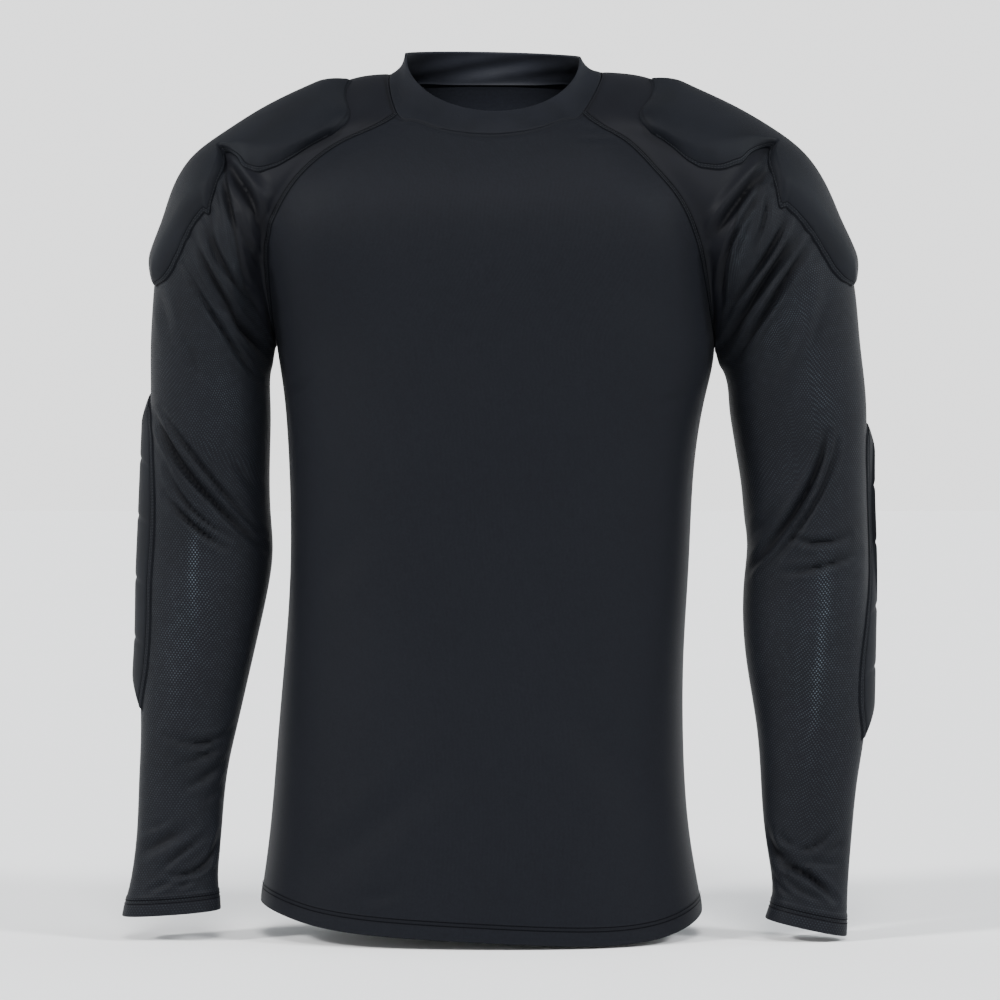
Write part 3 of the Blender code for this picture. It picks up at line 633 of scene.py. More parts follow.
# %% Shader sums in Python
class Wire:
    """An output of a node that can be used in a sum."""

    def __init__(self, tree, socket=None):
        self.tree, self.socket = tree, socket

    def node(self, kind, settings=None, inputs=None, output=0):
        """Any node: its settings are set first, then the values or wires of its inputs."""
        made = self.tree.nodes.new("ShaderNode" + kind)
        for name, value in (settings or {}).items():
            setattr(made, name, value)
        for name, value in (inputs or {}).items():
            if isinstance(value, Wire):
                self.tree.links.new(value.socket, made.inputs[name])
            else:
                made.inputs[name].default_value = value
        return Wire(self.tree, made.outputs[output])

    def math(self, operation, *values):
        return self.node("Math", {"operation": operation}, dict(enumerate(values)))

    def mark(self, name):
        """The value of a named attribute of the mesh."""
        return self.node("Attribute", {"attribute_name": name}, output="Fac")

    def __add__(self, other):
        return self.math("ADD", self, other)

    def __sub__(self, other):
        return self.math("SUBTRACT", self, other)

    def __rsub__(self, other):
        return self.math("SUBTRACT", other, self)

    def __mul__(self, other):
        return self.math("MULTIPLY", self, other)

    def __mod__(self, other):
        return self.math("FLOORED_MODULO", self, other)

    __radd__ = __add__
    __rmul__ = __mul__

    def ramp(self, low, high):
        """0 below low, 1 above high and smooth between them."""
        return self.node(
            "MapRange", {"interpolation_type": "SMOOTHSTEP"},
            {"Value": self, "From Min": low, "From Max": high},
        )

    def tint(self, dark, light):
        """The colour dark where this is 0 and light where it is 1."""
        return self.node("Mix", {"data_type": "RGBA"}, {0: self, 6: dark, 7: light}, output=2)


# %% [markdown]
# A cloth finish needs a name, its constant shader values and a few wires that vary over the surface.
# Constants such as sheen stay on the shader itself, because a linked one is lost when the model is
# exported.

# %% Start and end a finish
def start_finish(name):
    """A new material, and a wire to build its nodes with."""
    material = bpy.data.materials.new(name)
    material.use_nodes = True
    return material, Wire(material.node_tree)


def end_finish(material, color, roughness, height=None, relief=0.0001, **constants):
    """Links the varying wires to the shader and sets its constant values."""
    shader = material.node_tree.nodes["Principled BSDF"]
    link = material.node_tree.links.new
    link(color.socket, shader.inputs["Base Color"])
    link(roughness.socket, shader.inputs["Roughness"])
    if height is not None:
        bump = height.node("Bump", None, {"Height": height, "Distance": relief, "Strength": 1.0})
        link(bump.socket, shader.inputs["Normal"])
    for name, value in constants.items():
        shader.inputs[name.replace("_", " ")].default_value = value
    print(material.name, "has", len(material.node_tree.nodes), "nodes")


def cloth_map(wires):
    """Millimetres across and along the cloth, from its UV map in metres."""
    flat = wires.node("UVMap", {"uv_map": "cloth"})
    split = {"Vector": flat}
    return [wires.node("SeparateXYZ", None, split, output=axis) * (1 / MM) for axis in "XY"]


MIDDLING = (0.3, 0.7)


def cloud(wires, size, detail=3.0):
    """Soft uneven patches of about that size in metres."""
    place = wires.node("TexCoord", output="Object")
    return wires.node("TexNoise", None, {"Vector": place, "Scale": 1.0 / size, "Detail": detail})


# %% [markdown]
# The body is a dull, finely knitted jersey, nearly black with a cold cast. Wales a millimetre apart give
# it a faint grain, and soft patches keep its colour from looking printed.

# %% Jersey
WALE = 1.05
COURSE = 0.8
LOOP_SHARES = (0.65, 0.35)
MOTTLE = 0.09
YARN = 0.0016
SEAM_SHADE = 0.8
JERSEY_RELIEF = 0.00006
JERSEY_COLORS = ((0.0030, 0.0034, 0.0048, 1), (0.0066, 0.0075, 0.0104, 1))
KNIT_GLOSS = {"Sheen_Weight": 0.01, "Sheen_Roughness": 0.5, "Specular_IOR_Level": 0.06}


def knit_height(wires, wale, course):
    """Rows of small loops: 0 between them and 1 on top of them."""
    across, along = cloth_map(wires)
    rib = wires.math("SINE", across * (2 * math.pi / wale)) * 0.5 + 0.5
    loop = wires.math("SINE", along * (2 * math.pi / course)) * 0.5 + 0.5
    return rib * LOOP_SHARES[0] + rib * loop * LOOP_SHARES[1]


def jersey_finish():
    material, wires = start_finish("body_jersey")
    grain = knit_height(wires, WALE, COURSE)
    patches = cloud(wires, MOTTLE)
    yarn = cloud(wires, YARN, 2.0)
    shade = patches * 0.25 + yarn.ramp(*MIDDLING) * 0.35 + grain * 0.4
    # Painted shade: the colour is darkened along the seams and in a band above the hem.
    shade = shade * (1 - wires.mark("seam") * SEAM_SHADE)
    color = shade.tint(*JERSEY_COLORS)
    end_finish(material, color, 0.62 - grain * 0.08, grain, JERSEY_RELIEF, **KNIT_GLOSS)
    return material


jersey = jersey_finish()

# %% [markdown]
# The sleeves are fine staggered mesh. In bands over the forearm and the upper arm the eyelets get a light
# colour, a painted highlight, and an attribute of the mesh says how strong it is at each point. In a
# trough the colour is darkened as painted shade, and a second attribute says where.

# %% Sleeve mesh
EYELET_PITCH = 2.7
EYELET_ROW = 1.9
EYELET_RADIUS = 0.5
EYELET_SOFTNESS = 0.28
EYELET_RELIEF = 0.00022
CREASE_SHADE = 0.6
JOIN_SHADE = 0.6
MESH_COLORS = ((0.0013, 0.0014, 0.0021, 1), (0.0043, 0.0047, 0.0067, 1))
LIT_COLOR = (0.14, 0.18, 0.215, 1)
MESH_GLOSS = {"Sheen_Weight": 0.01, "Sheen_Roughness": 0.45, "Specular_IOR_Level": 0.08}


def eyelets(wires):
    """1 in the middle of each eyelet of a staggered mesh and 0 between them."""
    across, along = cloth_map(wires)
    row = wires.math("FLOOR", along * (1 / EYELET_ROW))
    shift = row % 2.0 * (EYELET_PITCH / 2)
    beside = (across + shift) % EYELET_PITCH - EYELET_PITCH / 2
    above = along % EYELET_ROW - EYELET_ROW / 2
    distance = wires.math("SQRT", beside * beside + above * above)
    return 1 - distance.ramp(EYELET_RADIUS - EYELET_SOFTNESS, EYELET_RADIUS + EYELET_SOFTNESS)


def mesh_finish():
    material, wires = start_finish("sleeve_mesh")
    holes = eyelets(wires)
    stretch, seam, netted, crease = (wires.mark(n) for n in ("stretch", "seam", "netted", "crease"))
    uneven = cloud(wires, 0.006).ramp(0.35, 0.7)
    patches = cloud(wires, 0.06).ramp(*MIDDLING)
    dots = holes * netted
    join = netted * (1 - netted) * 4.0
    # Painted highlight: the eyelets get a light colour in the places of the table further down, and not
    # in creases.
    lit = dots * stretch * (0.5 + uneven * 0.5) * (1 - crease)
    # Painted shade: the colour is darkened along the raglan seam and in a band above the cuff.
    cloth = (patches * 0.3 + (1 - dots) * 0.4 + 0.3) * (1 - seam * SEAM_SHADE)
    # Painted shade: the colour is darkened in creases. It is also darkened along the line where the mesh
    # meets the plain yoke.
    cloth = cloth * (1 - crease * CREASE_SHADE) * (1 - join * JOIN_SHADE)
    color = lit.tint(cloth.tint(*MESH_COLORS), LIT_COLOR)
    end_finish(material, color, 0.56 + dots * 0.2, 1 - dots, EYELET_RELIEF, **MESH_GLOSS)
    return material


sleeve_mesh = mesh_finish()

# %% [markdown]
# Pads are covered in a smoother, tighter cloth than the sleeves, so they are plainer and a little darker.
# The collar is the same jersey as the body, folded double. Thread shines a little where it lies on top.
# Where a needle line pulls it into the cloth it is nearly black, painted shade for the shadow in the
# line.

# %% Pad cloth, collar and thread
TWIST = 0.0015


def plain_knit(name, loop, patch, seam_shade, colors, relief):
    """A tight knit: the width and height of its loops in millimetres, and the size of its patches."""
    material, wires = start_finish(name)
    grain = knit_height(wires, *loop)
    patches = cloud(wires, patch).ramp(*MIDDLING)
    # Painted shade: the colour is darkened along the marked seam lines.
    shade = (patches * 0.3 + grain * 0.7) * (1 - wires.mark("seam") * seam_shade)
    end_finish(material, shade.tint(*colors), 0.60 - grain * 0.06, grain, relief, **KNIT_GLOSS)
    return material


def thread_finish(name, colors, dullness, unevenness, gloss, sheen):
    """Sewing thread, with the uneven light of its twist."""
    material, wires = start_finish(name)
    twist = cloud(wires, TWIST, 1.0)
    roughness = dullness + twist * unevenness
    end_finish(material, twist.tint(*colors), roughness, Specular_IOR_Level=gloss, Sheen_Weight=sheen)
    return material


PAD_COLORS = ((0.0026, 0.0030, 0.0042, 1), (0.0060, 0.0070, 0.0098, 1))
PAD_SEAM_SHADE = 0.4
THREAD_COLORS = ((0.0050, 0.0058, 0.0075, 1), (0.0125, 0.0145, 0.0175, 1))
NEEDLE_SHADE_COLORS = ((0.0014, 0.0014, 0.0020, 1), (0.0034, 0.0036, 0.0049, 1))

pad_cloth = plain_knit("pad_cloth", (0.9, 0.9), 0.04, PAD_SEAM_SHADE, PAD_COLORS, 0.00005)
collar_rib = plain_knit("collar_rib", (1.3, 0.9), 0.03, SEAM_SHADE, JERSEY_COLORS, 0.00006)
thread = thread_finish("thread", THREAD_COLORS, 0.5, 0.2, 0.12, 0.01)
# The needle line finish is nearly black: painted shade in the line where the thread sinks into the cloth.
needle_shade_line = thread_finish("needle_shade_line", NEEDLE_SHADE_COLORS, 0.8, 0.1, 0.02, 0.0)

# %% [markdown]
# Every panel is a real wall of cloth with two faces, made from one grid: the grid is laid on the inner
# face and extruded to the outer one. Each point keeps its number through the extrusion, which is how it
# finds its place.

# %% A wall of cloth
TUBE_WELD = 0.000001


def run_length(points):
    """The length from the first point of a path, or of each row of a grid, to every other point."""
    steps = np.linalg.norm(np.diff(points, axis=0), axis=-1)
    return np.concatenate((np.zeros((1, *steps.shape[1:])), np.cumsum(steps, axis=0)))


def grid_map(points, zero_column=0, rise=False):
    """Lengths across and along a grid of points, in metres, for a UV map."""
    across = run_length(points)
    along = run_length(points.swapaxes(0, 1)).T
    if rise:
        along -= along[:, -1:]
    across -= across[zero_column]
    return np.stack((across, along), axis=-1) * MM


def cloth_wall(name, outer, inner, flat, tube=False, **marks):
    """A closed wall between two grids of points, with its UV map and named marks at its points."""
    columns, rows = outer.shape[0] - 1, outer.shape[1] - 1
    bm = bmesh.new()
    spot = bm.verts.layers.int.new("spot")
    cloth = bm.loops.layers.uv.new("cloth")
    made = bmesh.ops.create_grid(bm, x_segments=columns, y_segments=rows, size=1)
    inside, outside, places = (
        grid.swapaxes(0, 1).reshape(-1, grid.shape[-1]) for grid in (inner * MM, outer * MM, flat)
    )
    for index, vertex in enumerate(made["verts"]):
        vertex[spot] = index
        vertex.co = inside[index]
    for face in bm.faces:
        for loop in face.loops:
            loop[cloth].uv = places[loop.vert[spot]]
    if tube:
        bmesh.ops.remove_doubles(bm, verts=bm.verts, dist=TUBE_WELD)
    lifted = bmesh.ops.extrude_face_region(bm, geom=bm.faces[:], use_keep_orig=True)
    for item in lifted["geom"]:
        if isinstance(item, bmesh.types.BMVert):
            item.co = outside[item[spot]]
    bmesh.ops.recalc_face_normals(bm, faces=bm.faces)
    mesh = mesh_of(bm, name)
    mark_points(mesh, marks)
    return mesh


def mark_points(mesh, marks):
    """Writes each named grid of values to the mesh as an attribute of its points."""
    spots = np.empty(len(mesh.vertices), dtype=np.int32)
    mesh.attributes["spot"].data.foreach_get("value", spots)
    for name, values in marks.items():
        layer = mesh.attributes.new(name, "FLOAT", "POINT")
        layer.data.foreach_set("value", values.T.ravel()[spots].astype(np.float32))
    mesh.attributes.remove(mesh.attributes["spot"])


# %% Put a finished piece in the scene
SHARP_ANGLE = 60


def add_piece(name, mesh, material, node=None):
    """Links a piece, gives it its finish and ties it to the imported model."""
    mesh.materials.append(material)
    mesh.shade_smooth()
    mesh.set_sharp_from_angle(angle=math.radians(SHARP_ANGLE))
    piece = add_object(name, mesh)
    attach(piece, "root")
    if node:
        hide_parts(node)
    mesh.calc_loop_triangles()
    print(name, "has", len(mesh.loop_triangles), "triangles")
    return piece


def print_area(piece):
    """Prints the area of one side of a wall of cloth, in square metres."""
    print("area of one side:", round(sum(face.area for face in piece.data.polygons) / 2, 4))


def add_panel(name, mesh, material):
    """Adds a panel as a sheet of cloth and prints the area of one side."""
    piece = add_piece(name + "_cloth", mesh, material, name)
    print_area(piece)


# %% [markdown]
# Where two panels are sewn together the cloth sinks a little towards the stitches, and an open edge is
# turned back and stitched, so it is thicker. Both depend only on the distance from an edge. The colour is
# also darkened along the needle lines and in a band above a turned edge, as painted shade.

# %% Edges of a panel
PANEL_WALL = 1.2
SEAM_GAP = 0.3
SEAM_DIP = 0.7
SEAM_WIDTH = 0.9
NEEDLE_LINE = 2.1
JOINT_SHARE = 0.45
HEM_RAISE = 0.7
EDGE_ROUNDING = 1.2
EDGE_SHARE = 0.35
CREASED = (0.6, 4.0)
HEM_BAND = 13.0
HEM_BAND_WIDTH = 2.6
HEM_SHADE = 0.55
ENDS = {"first": (0, 1), "last": (-1, -2)}


def pull_in(points, edges):
    """Draws the named edges of a grid of points in by half a seam gap."""
    for axis, end in edges:
        edge, inner = ENDS[end]
        grid = points if axis == "column" else points.swapaxes(0, 1)
        step = grid[inner] - grid[edge]
        grid[edge] += SEAM_GAP / 2 * step / np.linalg.norm(step, axis=-1, keepdims=True)
    return points


def edge_distance(points, edges):
    """The distance from each point of a grid to the nearest of the named edges, in millimetres."""
    nearest = np.full(points.shape[:2], np.inf)
    for axis, end in edges:
        grid = points if axis == "column" else points.swapaxes(0, 1)
        grid = grid[::-1] if end == "last" else grid
        length = run_length(grid)
        length = length[::-1] if end == "last" else length
        nearest = np.minimum(nearest, length if axis == "column" else length.T)
    return nearest


def seam_lines(distance):
    """1 on a seam's needle line and less on its joint: how deep the cloth is there, and how much painted
    shade darkens it.
    """
    line = ridge(distance - NEEDLE_LINE, SEAM_WIDTH)
    return np.maximum(line, JOINT_SHARE * ridge(distance, SEAM_WIDTH))


def fullness(distance):
    """How much of its thickness a rounded open edge has at that distance from it."""
    inward = 1.0 - np.clip(distance / EDGE_ROUNDING, 0.0, 1.0)
    return mix(EDGE_SHARE, 1.0, np.sqrt(1.0 - inward**2))


# %% Lay a panel on the form
def lay_panel(name, columns, rows, raised, seams, openings, tube=False, zero_column=0, **extra):
    """A panel as a mesh with two faces, with its creases, its seams and its turned openings."""
    across, along = np.meshgrid(columns, rows, indexing="ij")
    form, normals = sample(charts, name, across, along)
    points = folded(form, normals)
    # Painted shade: where a trough is deep, the finish darkens its colour by this share.
    crease = smooth_step(*CREASED, np.sum((form - points) * normals, axis=-1))
    points = pull_in(points, seams)
    # Along the seams the cloth dips and its colour is later darkened as painted shade; a band above a
    # turned edge gets the same.
    seam = seam_lines(edge_distance(points, seams))
    to_opening = edge_distance(points, openings)
    seam = np.maximum(seam, HEM_SHADE * ridge(to_opening - HEM_BAND, HEM_BAND_WIDTH))
    full = fullness(to_opening)
    middle = points - normals * (PANEL_WALL / 2 + seam * SEAM_DIP / 2)[..., None]
    outward = (PANEL_WALL / 2 - seam * SEAM_DIP / 2 + raised(along) * HEM_RAISE) * full
    outer = middle + normals * outward[..., None]
    inner = middle - normals * (PANEL_WALL / 2 * full)[..., None]
    marks = {key: value(points, normals) for key, value in extra.items()}
    flat = grid_map(points, zero_column, rise=tube)
    return cloth_wall(name + "_cloth", outer, inner, flat, tube, seam=seam, crease=crease, **marks)


# %% [markdown]
# The front and back are each one piece of jersey, from the hem to the neck. Extra columns and rows lie
# close to the seams and to the step of the hem, where the cloth turns quickly, and the rest are evenly
# spaced.

# %% Front and back
NEAR_EDGE = (0.0, 0.012, 0.03, 0.045)
HEM_TURN = (0.94, 1.03)
NEAR_HEM = (0.96, 0.98, 1.02, 1.04)
BODY_FINENESS = 11


def spread(count, cells, near_first=NEAR_EDGE, near_last=NEAR_EDGE):
    """Evenly spaced places on a chart, with some more close to its ends."""
    even = np.arange(1, count * cells) / cells
    return np.concatenate((near_first, even, [count - place for place in reversed(near_last)]))


def body_panel(name):
    columns = spread(BODY_COLUMNS, BODY_FINENESS)
    rows = np.sort(np.concatenate((spread(BODY_ROWS, BODY_FINENESS), NEAR_HEM)))
    mesh = lay_panel(
        name, columns, rows,
        lambda row: 1.0 - smooth_step(*HEM_TURN, row),
        (("column", "first"), ("column", "last"), ("row", "last")), (("row", "first"),),
        zero_column=len(columns) // 2,
    )
    add_panel(name, mesh, jersey)


body_panel("front_panel")
body_panel("back_panel")

# %% [markdown]
# The sleeves are tubes of mesh cloth. Their eyelets get a painted highlight over the forearm and the
# upper arm; each place below has a centre, a half-width and half-height, a lean and a strength.

# %% Where the eyelets get a painted highlight
LEAST_HIGHLIGHT = 0.09
PAINTED_HIGHLIGHT_SPOTS = rows_of(
    "out up half_width half_height lean strength",
    (-249, -402, 3.5, 30, 0.02, 0.45),
    (-248, -436, 20, 58, 0.12, 0.08),
    (-264, -478, 14, 60, 0.10, 0.09),
    (-221, -254, 16, 52, -0.25, 0.08),
    (-215, -150, 7, 30, -0.2, 0.07),
    (271, -420, 6, 30, 0.06, 0.20),
    (268, -480, 3.5, 52, 0.12, 0.38),
    (264, -480, 18, 66, 0.10, 0.08),
    (266, -255, 14, 46, -0.2, 0.10),
    (247, -190, 20, 50, 0.5, 0.09),
    (203, -140, 6, 20, 0.3, 0.22),
)


def stretched(points, normals):
    """How strong the painted highlight on the eyelets is at each point, from 0 to 1."""
    total = np.full(points.shape[:2], LEAST_HIGHLIGHT)
    for place in PAINTED_HIGHLIGHT_SPOTS:
        up = points[..., 2] - place.up
        out = points[..., 0] - place.out - place.lean * up
        distance = (out / place.half_width) ** 2 + (up / place.half_height) ** 2
        total += place.strength * np.exp(-distance)
    return np.clip(total, 0.0, 1.0)


# %% [markdown]
# Between the raglan seam and the mesh lies a plain yoke. Its cut line is mostly hidden under the pad, so
# it stays part of the same tube and an attribute called "netted" tells it apart.

# %% Where the sleeve is mesh
MESH_EDGES = rows_of(
    "up right_out left_out",
    (-214, -186, 186),
    (-175, -206, 191),
    (-135, -212, 194),
    (-100, -217, 202),
    (-55, -229, 227),
)
MESH_STEP = 1.8
MESH_TOP = (-45.0, -60.0)


def netted(points, normals):
    """1 where a sleeve is mesh and 0 on its plain yoke, which ends in a line from pad to underarm."""
    out, up = points[..., 0], points[..., 2]
    ups = [edge.up for edge in MESH_EDGES]
    right = np.interp(up, ups, [edge.right_out for edge in MESH_EDGES])
    left = np.interp(up, ups, [edge.left_out for edge in MESH_EDGES])
    beyond = np.where(out < 0, right - out, out - left)
    mesh = np.where(up < ups[0], 1.0, smooth_step(-MESH_STEP, MESH_STEP, beyond))
    return mesh * (1.0 - smooth_step(MESH_TOP[1], MESH_TOP[0], up))


# %% [markdown]
# A sleeve is laid like a body panel, but its long edges are merged into a tube. Its front has twice as
# many columns as its back, because the deepest creases are there.

# %% Sleeves
HALF_ARM = ARM_COLUMNS // 2
FRONT_FINENESS = 16
BACK_FINENESS = 8
SLEEVE_ROW_FINENESS = 12
CUFF_TURN = (CUFF_LINE - 0.04, CUFF_LINE + 0.1)
NEAR_CUFF = (CUFF_LINE - 0.03, CUFF_LINE + 0.03, CUFF_LINE + 0.1)


def sleeve(side):
    name = "sleeve_" + side
    front_columns = np.arange(0, HALF_ARM * FRONT_FINENESS) / FRONT_FINENESS
    back_columns = HALF_ARM + np.arange(0, HALF_ARM * BACK_FINENESS + 1) / BACK_FINENESS
    columns = np.concatenate((front_columns, back_columns))
    rows = np.sort(np.concatenate((spread(ARM_ROWS, SLEEVE_ROW_FINENESS), NEAR_CUFF)))
    mesh = lay_panel(
        name, columns, rows, lambda row: smooth_step(*CUFF_TURN, row),
        (("row", "first"),), (("row", "last"),), tube=True,
        zero_column=len(front_columns), stretch=stretched, netted=netted,
    )
    add_panel(name, mesh, sleeve_mesh)


for side in ("right", "left"):
    sleeve(side)


# %% [markdown]
# The collar is a band of doubled jersey. Its lower edge is the neck seam, read from the panels so that
# they meet, and its top edge is an oval that dips in front. A few slack waves run round the back of the
# neck.

# %% Neck seam and the collar's top
COLLAR_WALL = 2.2
COLLAR_MIDDLE_OUT = -2.0
COLLAR_HALF_WIDTH = 73.5
COLLAR_FRONT_DEEP = -60.0
COLLAR_BACK_DEEP = 47.0
COLLAR_FRONT_UP = -28.0
COLLAR_SIDE_UP = 25.0
COLLAR_BACK_UP = 34.0
COLLAR_TILT = 1.5
COLLAR_BULGE = 1.5
COLLAR_SIDE_BULGE = -3.5
NECK_MIDDLE_DEEP = -8.0


def neck_seam(step):
    """The neck seam as one closed row of points: front, left sleeve, back and right sleeve."""
    across = np.arange(0, BODY_COLUMNS, step)
    half = ARM_COLUMNS / 2
    over = np.arange(half - 1, half + 1, step)
    stretches = (
        ("front_panel", across, BODY_ROWS),
        ("sleeve_left", over, 0),
        ("back_panel", BODY_COLUMNS - across, BODY_ROWS),
        ("sleeve_right", 2 * half - over, 0),
    )
    parts = [sample(charts, name, place, np.full(len(place), row))[0] for name, place, row in stretches]
    seam = np.concatenate(parts)
    return np.vstack((seam, seam[:1]))


def collar_angle(seam):
    """The direction of each point of the neck seam from the middle of the neck: 0 is straight ahead."""
    return np.arctan2(seam[:, 0] - COLLAR_MIDDLE_OUT, NECK_MIDDLE_DEEP - seam[:, 1])


def collar_top(seam):
    """The collar's top edge, a point above each point of the neck seam."""
    angle = collar_angle(seam)
    ahead = np.cos(angle)
    middle = (COLLAR_FRONT_DEEP + COLLAR_BACK_DEEP) / 2
    end = np.where(ahead > 0, COLLAR_FRONT_UP, COLLAR_BACK_UP)
    return np.stack(
        (
            COLLAR_MIDDLE_OUT + COLLAR_HALF_WIDTH * np.sin(angle),
            middle + (COLLAR_FRONT_DEEP - middle) * ahead,
            mix(COLLAR_SIDE_UP, end, abs(ahead)) - COLLAR_TILT * np.sin(angle),
        ),
        axis=-1,
    )


# %% Collar
COLLAR_ROWS = np.concatenate(((0.0, 0.03, 0.07), np.linspace(0.12, 0.9, 12), (0.94, 0.97, 0.985, 1.0)))
COLLAR_STEP = 1 / 8
SLACK = 1.1
SLACK_WAVES = 9.0
SLACK_LEAN = 5.0


def collar():
    """The collar as a wall of cloth from the neck seam up to its top edge."""
    seam = neck_seam(COLLAR_STEP)
    rise = collar_top(seam) - seam
    along = np.roll(seam[:-1], -1, axis=0) - np.roll(seam[:-1], 1, axis=0)
    along = np.vstack((along, along[:1]))
    outward = unit(np.cross(along, rise))
    height = np.linalg.norm(rise, axis=-1, keepdims=True)
    share = SEAM_GAP / 2 / height + (1 - SEAM_GAP / 2 / height) * COLLAR_ROWS
    angle = collar_angle(seam)[:, None]
    curve = np.sin(math.pi * COLLAR_ROWS)
    bulge = mix(COLLAR_SIDE_BULGE, COLLAR_BULGE, np.cos(angle) ** 2) * curve
    slack = SLACK * np.clip(-np.cos(angle), 0, 1) * curve
    bulge = bulge + slack * np.sin(SLACK_WAVES * COLLAR_ROWS + SLACK_LEAN * angle)
    # The neck seam dips the band, and the same mark darkens its colour as painted shade.
    mark = ridge(share * height, SEAM_WIDTH)
    bulge -= SEAM_DIP * mark
    outer = seam[:, None] + rise[:, None] * share[..., None] + outward[:, None] * bulge[..., None]
    middle = outer - outward[:, None] * COLLAR_WALL / 2
    full = fullness((1 - share) * height)[..., None]
    half_wall = outward[:, None] * COLLAR_WALL / 2 * full
    outer, inner = middle + half_wall, middle - half_wall
    mesh = cloth_wall("collar_band_cloth", outer, inner, grid_map(outer), tube=True, seam=mark)
    piece = add_piece("collar_band_cloth", mesh, collar_rib, "collar_band")
    print_area(piece)


collar()

# %% [markdown]
# A pad is laid out on its sleeve row by row: how far it reaches round the arm, to the front and to the
# back. The lengths round each ring are measured once, so a reach in millimetres finds its column.

# %% Lengths round the arm
def arm_lengths(sleeve_name):
    """Lengths from the arm's outer line along every ring of the chart, to the front and the back."""
    grid = charts[sleeve_name][0] / MM
    middle = HALF_ARM * CELLS
    return [run_length(half) for half in (grid[middle::-1], grid[middle:])]


def column_at(lengths, row, reach):
    """The chart column at a reach along a ring: negative to the front and positive to the back."""
    table = lengths[0] if reach < 0 else lengths[1]
    low = min(int(row * CELLS), table.shape[1] - 2)
    ring = mix(table[:, low], table[:, low + 1], row * CELLS - low)
    steps = np.interp(abs(reach), ring, np.arange(len(ring))) / CELLS
    return HALF_ARM + math.copysign(steps, reach)


def curve_through(values, stations, heights):
    """A smooth curve through the given stations."""
    stations, heights = np.array(stations), np.array(heights, dtype=float)
    slopes = np.gradient(heights, stations)
    index = np.clip(np.searchsorted(stations, values) - 1, 0, len(stations) - 2)
    width = stations[index + 1] - stations[index]
    share = (values - stations[index]) / width
    rise = heights[index + 1] - heights[index]
    ease = share * share * (3 - 2 * share)
    start = share * (1 - share) ** 2 * width * slopes[index]
    end = share * share * (share - 1) * width * slopes[index + 1]
    return heights[index] + rise * ease + start + end


# %% Outlines of the pads
PAD_ROWS = "row front_reach back_reach"
SHOULDER_PAD = rows_of(
    PAD_ROWS,
    (1.05, 98, 92), (1.3, 118, 104), (1.8, 124, 110), (2.3, 117, 108),
    (2.8, 107, 104), (3.3, 92, 98), (3.8, 74, 92), (4.2, 50, 87),
    (4.4, 34, 85), (4.55, 62, 83), (4.75, 88, 82), (5.1, 84, 80),
    (5.6, 77, 76), (6.2, 69, 70), (6.8, 62, 62), (7.4, 57, 55),
    (7.9, 52, 48), (8.3, 42, 38), (8.6, 26, 24),
)
SHOULDER_HUMP = 0.4
ELBOW_PAD = {
    "right": rows_of(
        PAD_ROWS,
        (11, 14, 26), (11.4, 23, 44), (12.1, 29, 52), (12.9, 33, 54),
        (13.8, 33, 54), (14.8, 30, 54), (15.8, 29, 51), (16.6, 26, 44),
        (17.3, 16, 30),
    ),
    "left": rows_of(
        PAD_ROWS,
        (11.6, 14, 32), (12, 16, 50), (12.7, 11, 66), (13.5, 9, 72),
        (14.4, 10, 72), (15.4, 20, 62), (16.4, 27, 54), (17.2, 26, 46),
        (17.9, 16, 30),
    ),
}
ELBOW_GROOVES = {"right": (12.3, 13.5, 14.8, 16.0), "left": (12.9, 14.1, 15.4, 16.6)}
ELBOW_SLANT = 0.25

# %% [markdown]
# Foam pads are domes: a flat stitched rim, then a quick rise to an even height. A simulation would puff
# them like cushions, which firm foam doesn't do, so the dome is a measured profile. The elbow pad has
# moulded grooves across it, so that it bends with the arm.

# %% A pad on a sleeve
PAD_CLEARANCE = 0.15
PAD_RIM = 0.5
PAD_RIM_HEIGHT = 0.8
PAD_ROUNDING = 27.0
NOTCH_ROWS = 0.35
PAD_LINES = (0.9, 5.0)
PAD_LINE_WIDTH = 0.8
PAD_LINE_DEPTH = 0.45
PAD_SOFTNESS = 0.4
RIDGE_FOLLOWED = 3.0
TROUGH_FOLLOWED = 1.0
GROOVE_WIDTH = 2.4
GROOVE_DEPTH = 1.1
HUMP_ROWS = 2.0


def without_notch(reach, rows):
    """A reach with its notch filled: the widest reach within a few rows, evened out."""
    near = abs(rows[:, None] - rows) < NOTCH_ROWS
    widest = np.array([reach[mask].max() for mask in near])
    return near @ widest / near.sum(axis=1)


def pad_grid(sleeve_name, outline, rows, shares, slant, hump):
    """A pad's places on the chart, and their distances from its sides with and without the notch."""
    lengths = arm_lengths(sleeve_name)
    stations = [station.row for station in outline]
    front = curve_through(rows, stations, [station.front_reach for station in outline])
    behind = curve_through(rows, stations, [station.back_reach for station in outline])
    side = np.where(shares[:, None] < 0, front, behind)
    reach = side * shares[:, None]
    start = np.clip(1.0 - (rows - rows[0]) / HUMP_ROWS, 0.0, 1.0)
    along = rows - slant * shares[:, None] + hump * start * np.sin(np.pi * abs(shares[:, None]))
    across = np.array(
        [[column_at(lengths, row, length) for row, length in zip(*pair)] for pair in zip(along, reach)]
    )
    filled = np.where(shares[:, None] < 0, without_notch(front, rows), behind)
    return across, along, side * (1 - abs(shares[:, None])), filled * (1 - abs(shares[:, None]))


def to_outline(points, to_side):
    """How far each point is from the pad's outline, in millimetres, with its sides that far away."""
    length = run_length(points.swapaxes(0, 1)).T
    to_end = np.minimum(length, length[:, -1:] - length)
    return np.minimum(to_side, to_end)


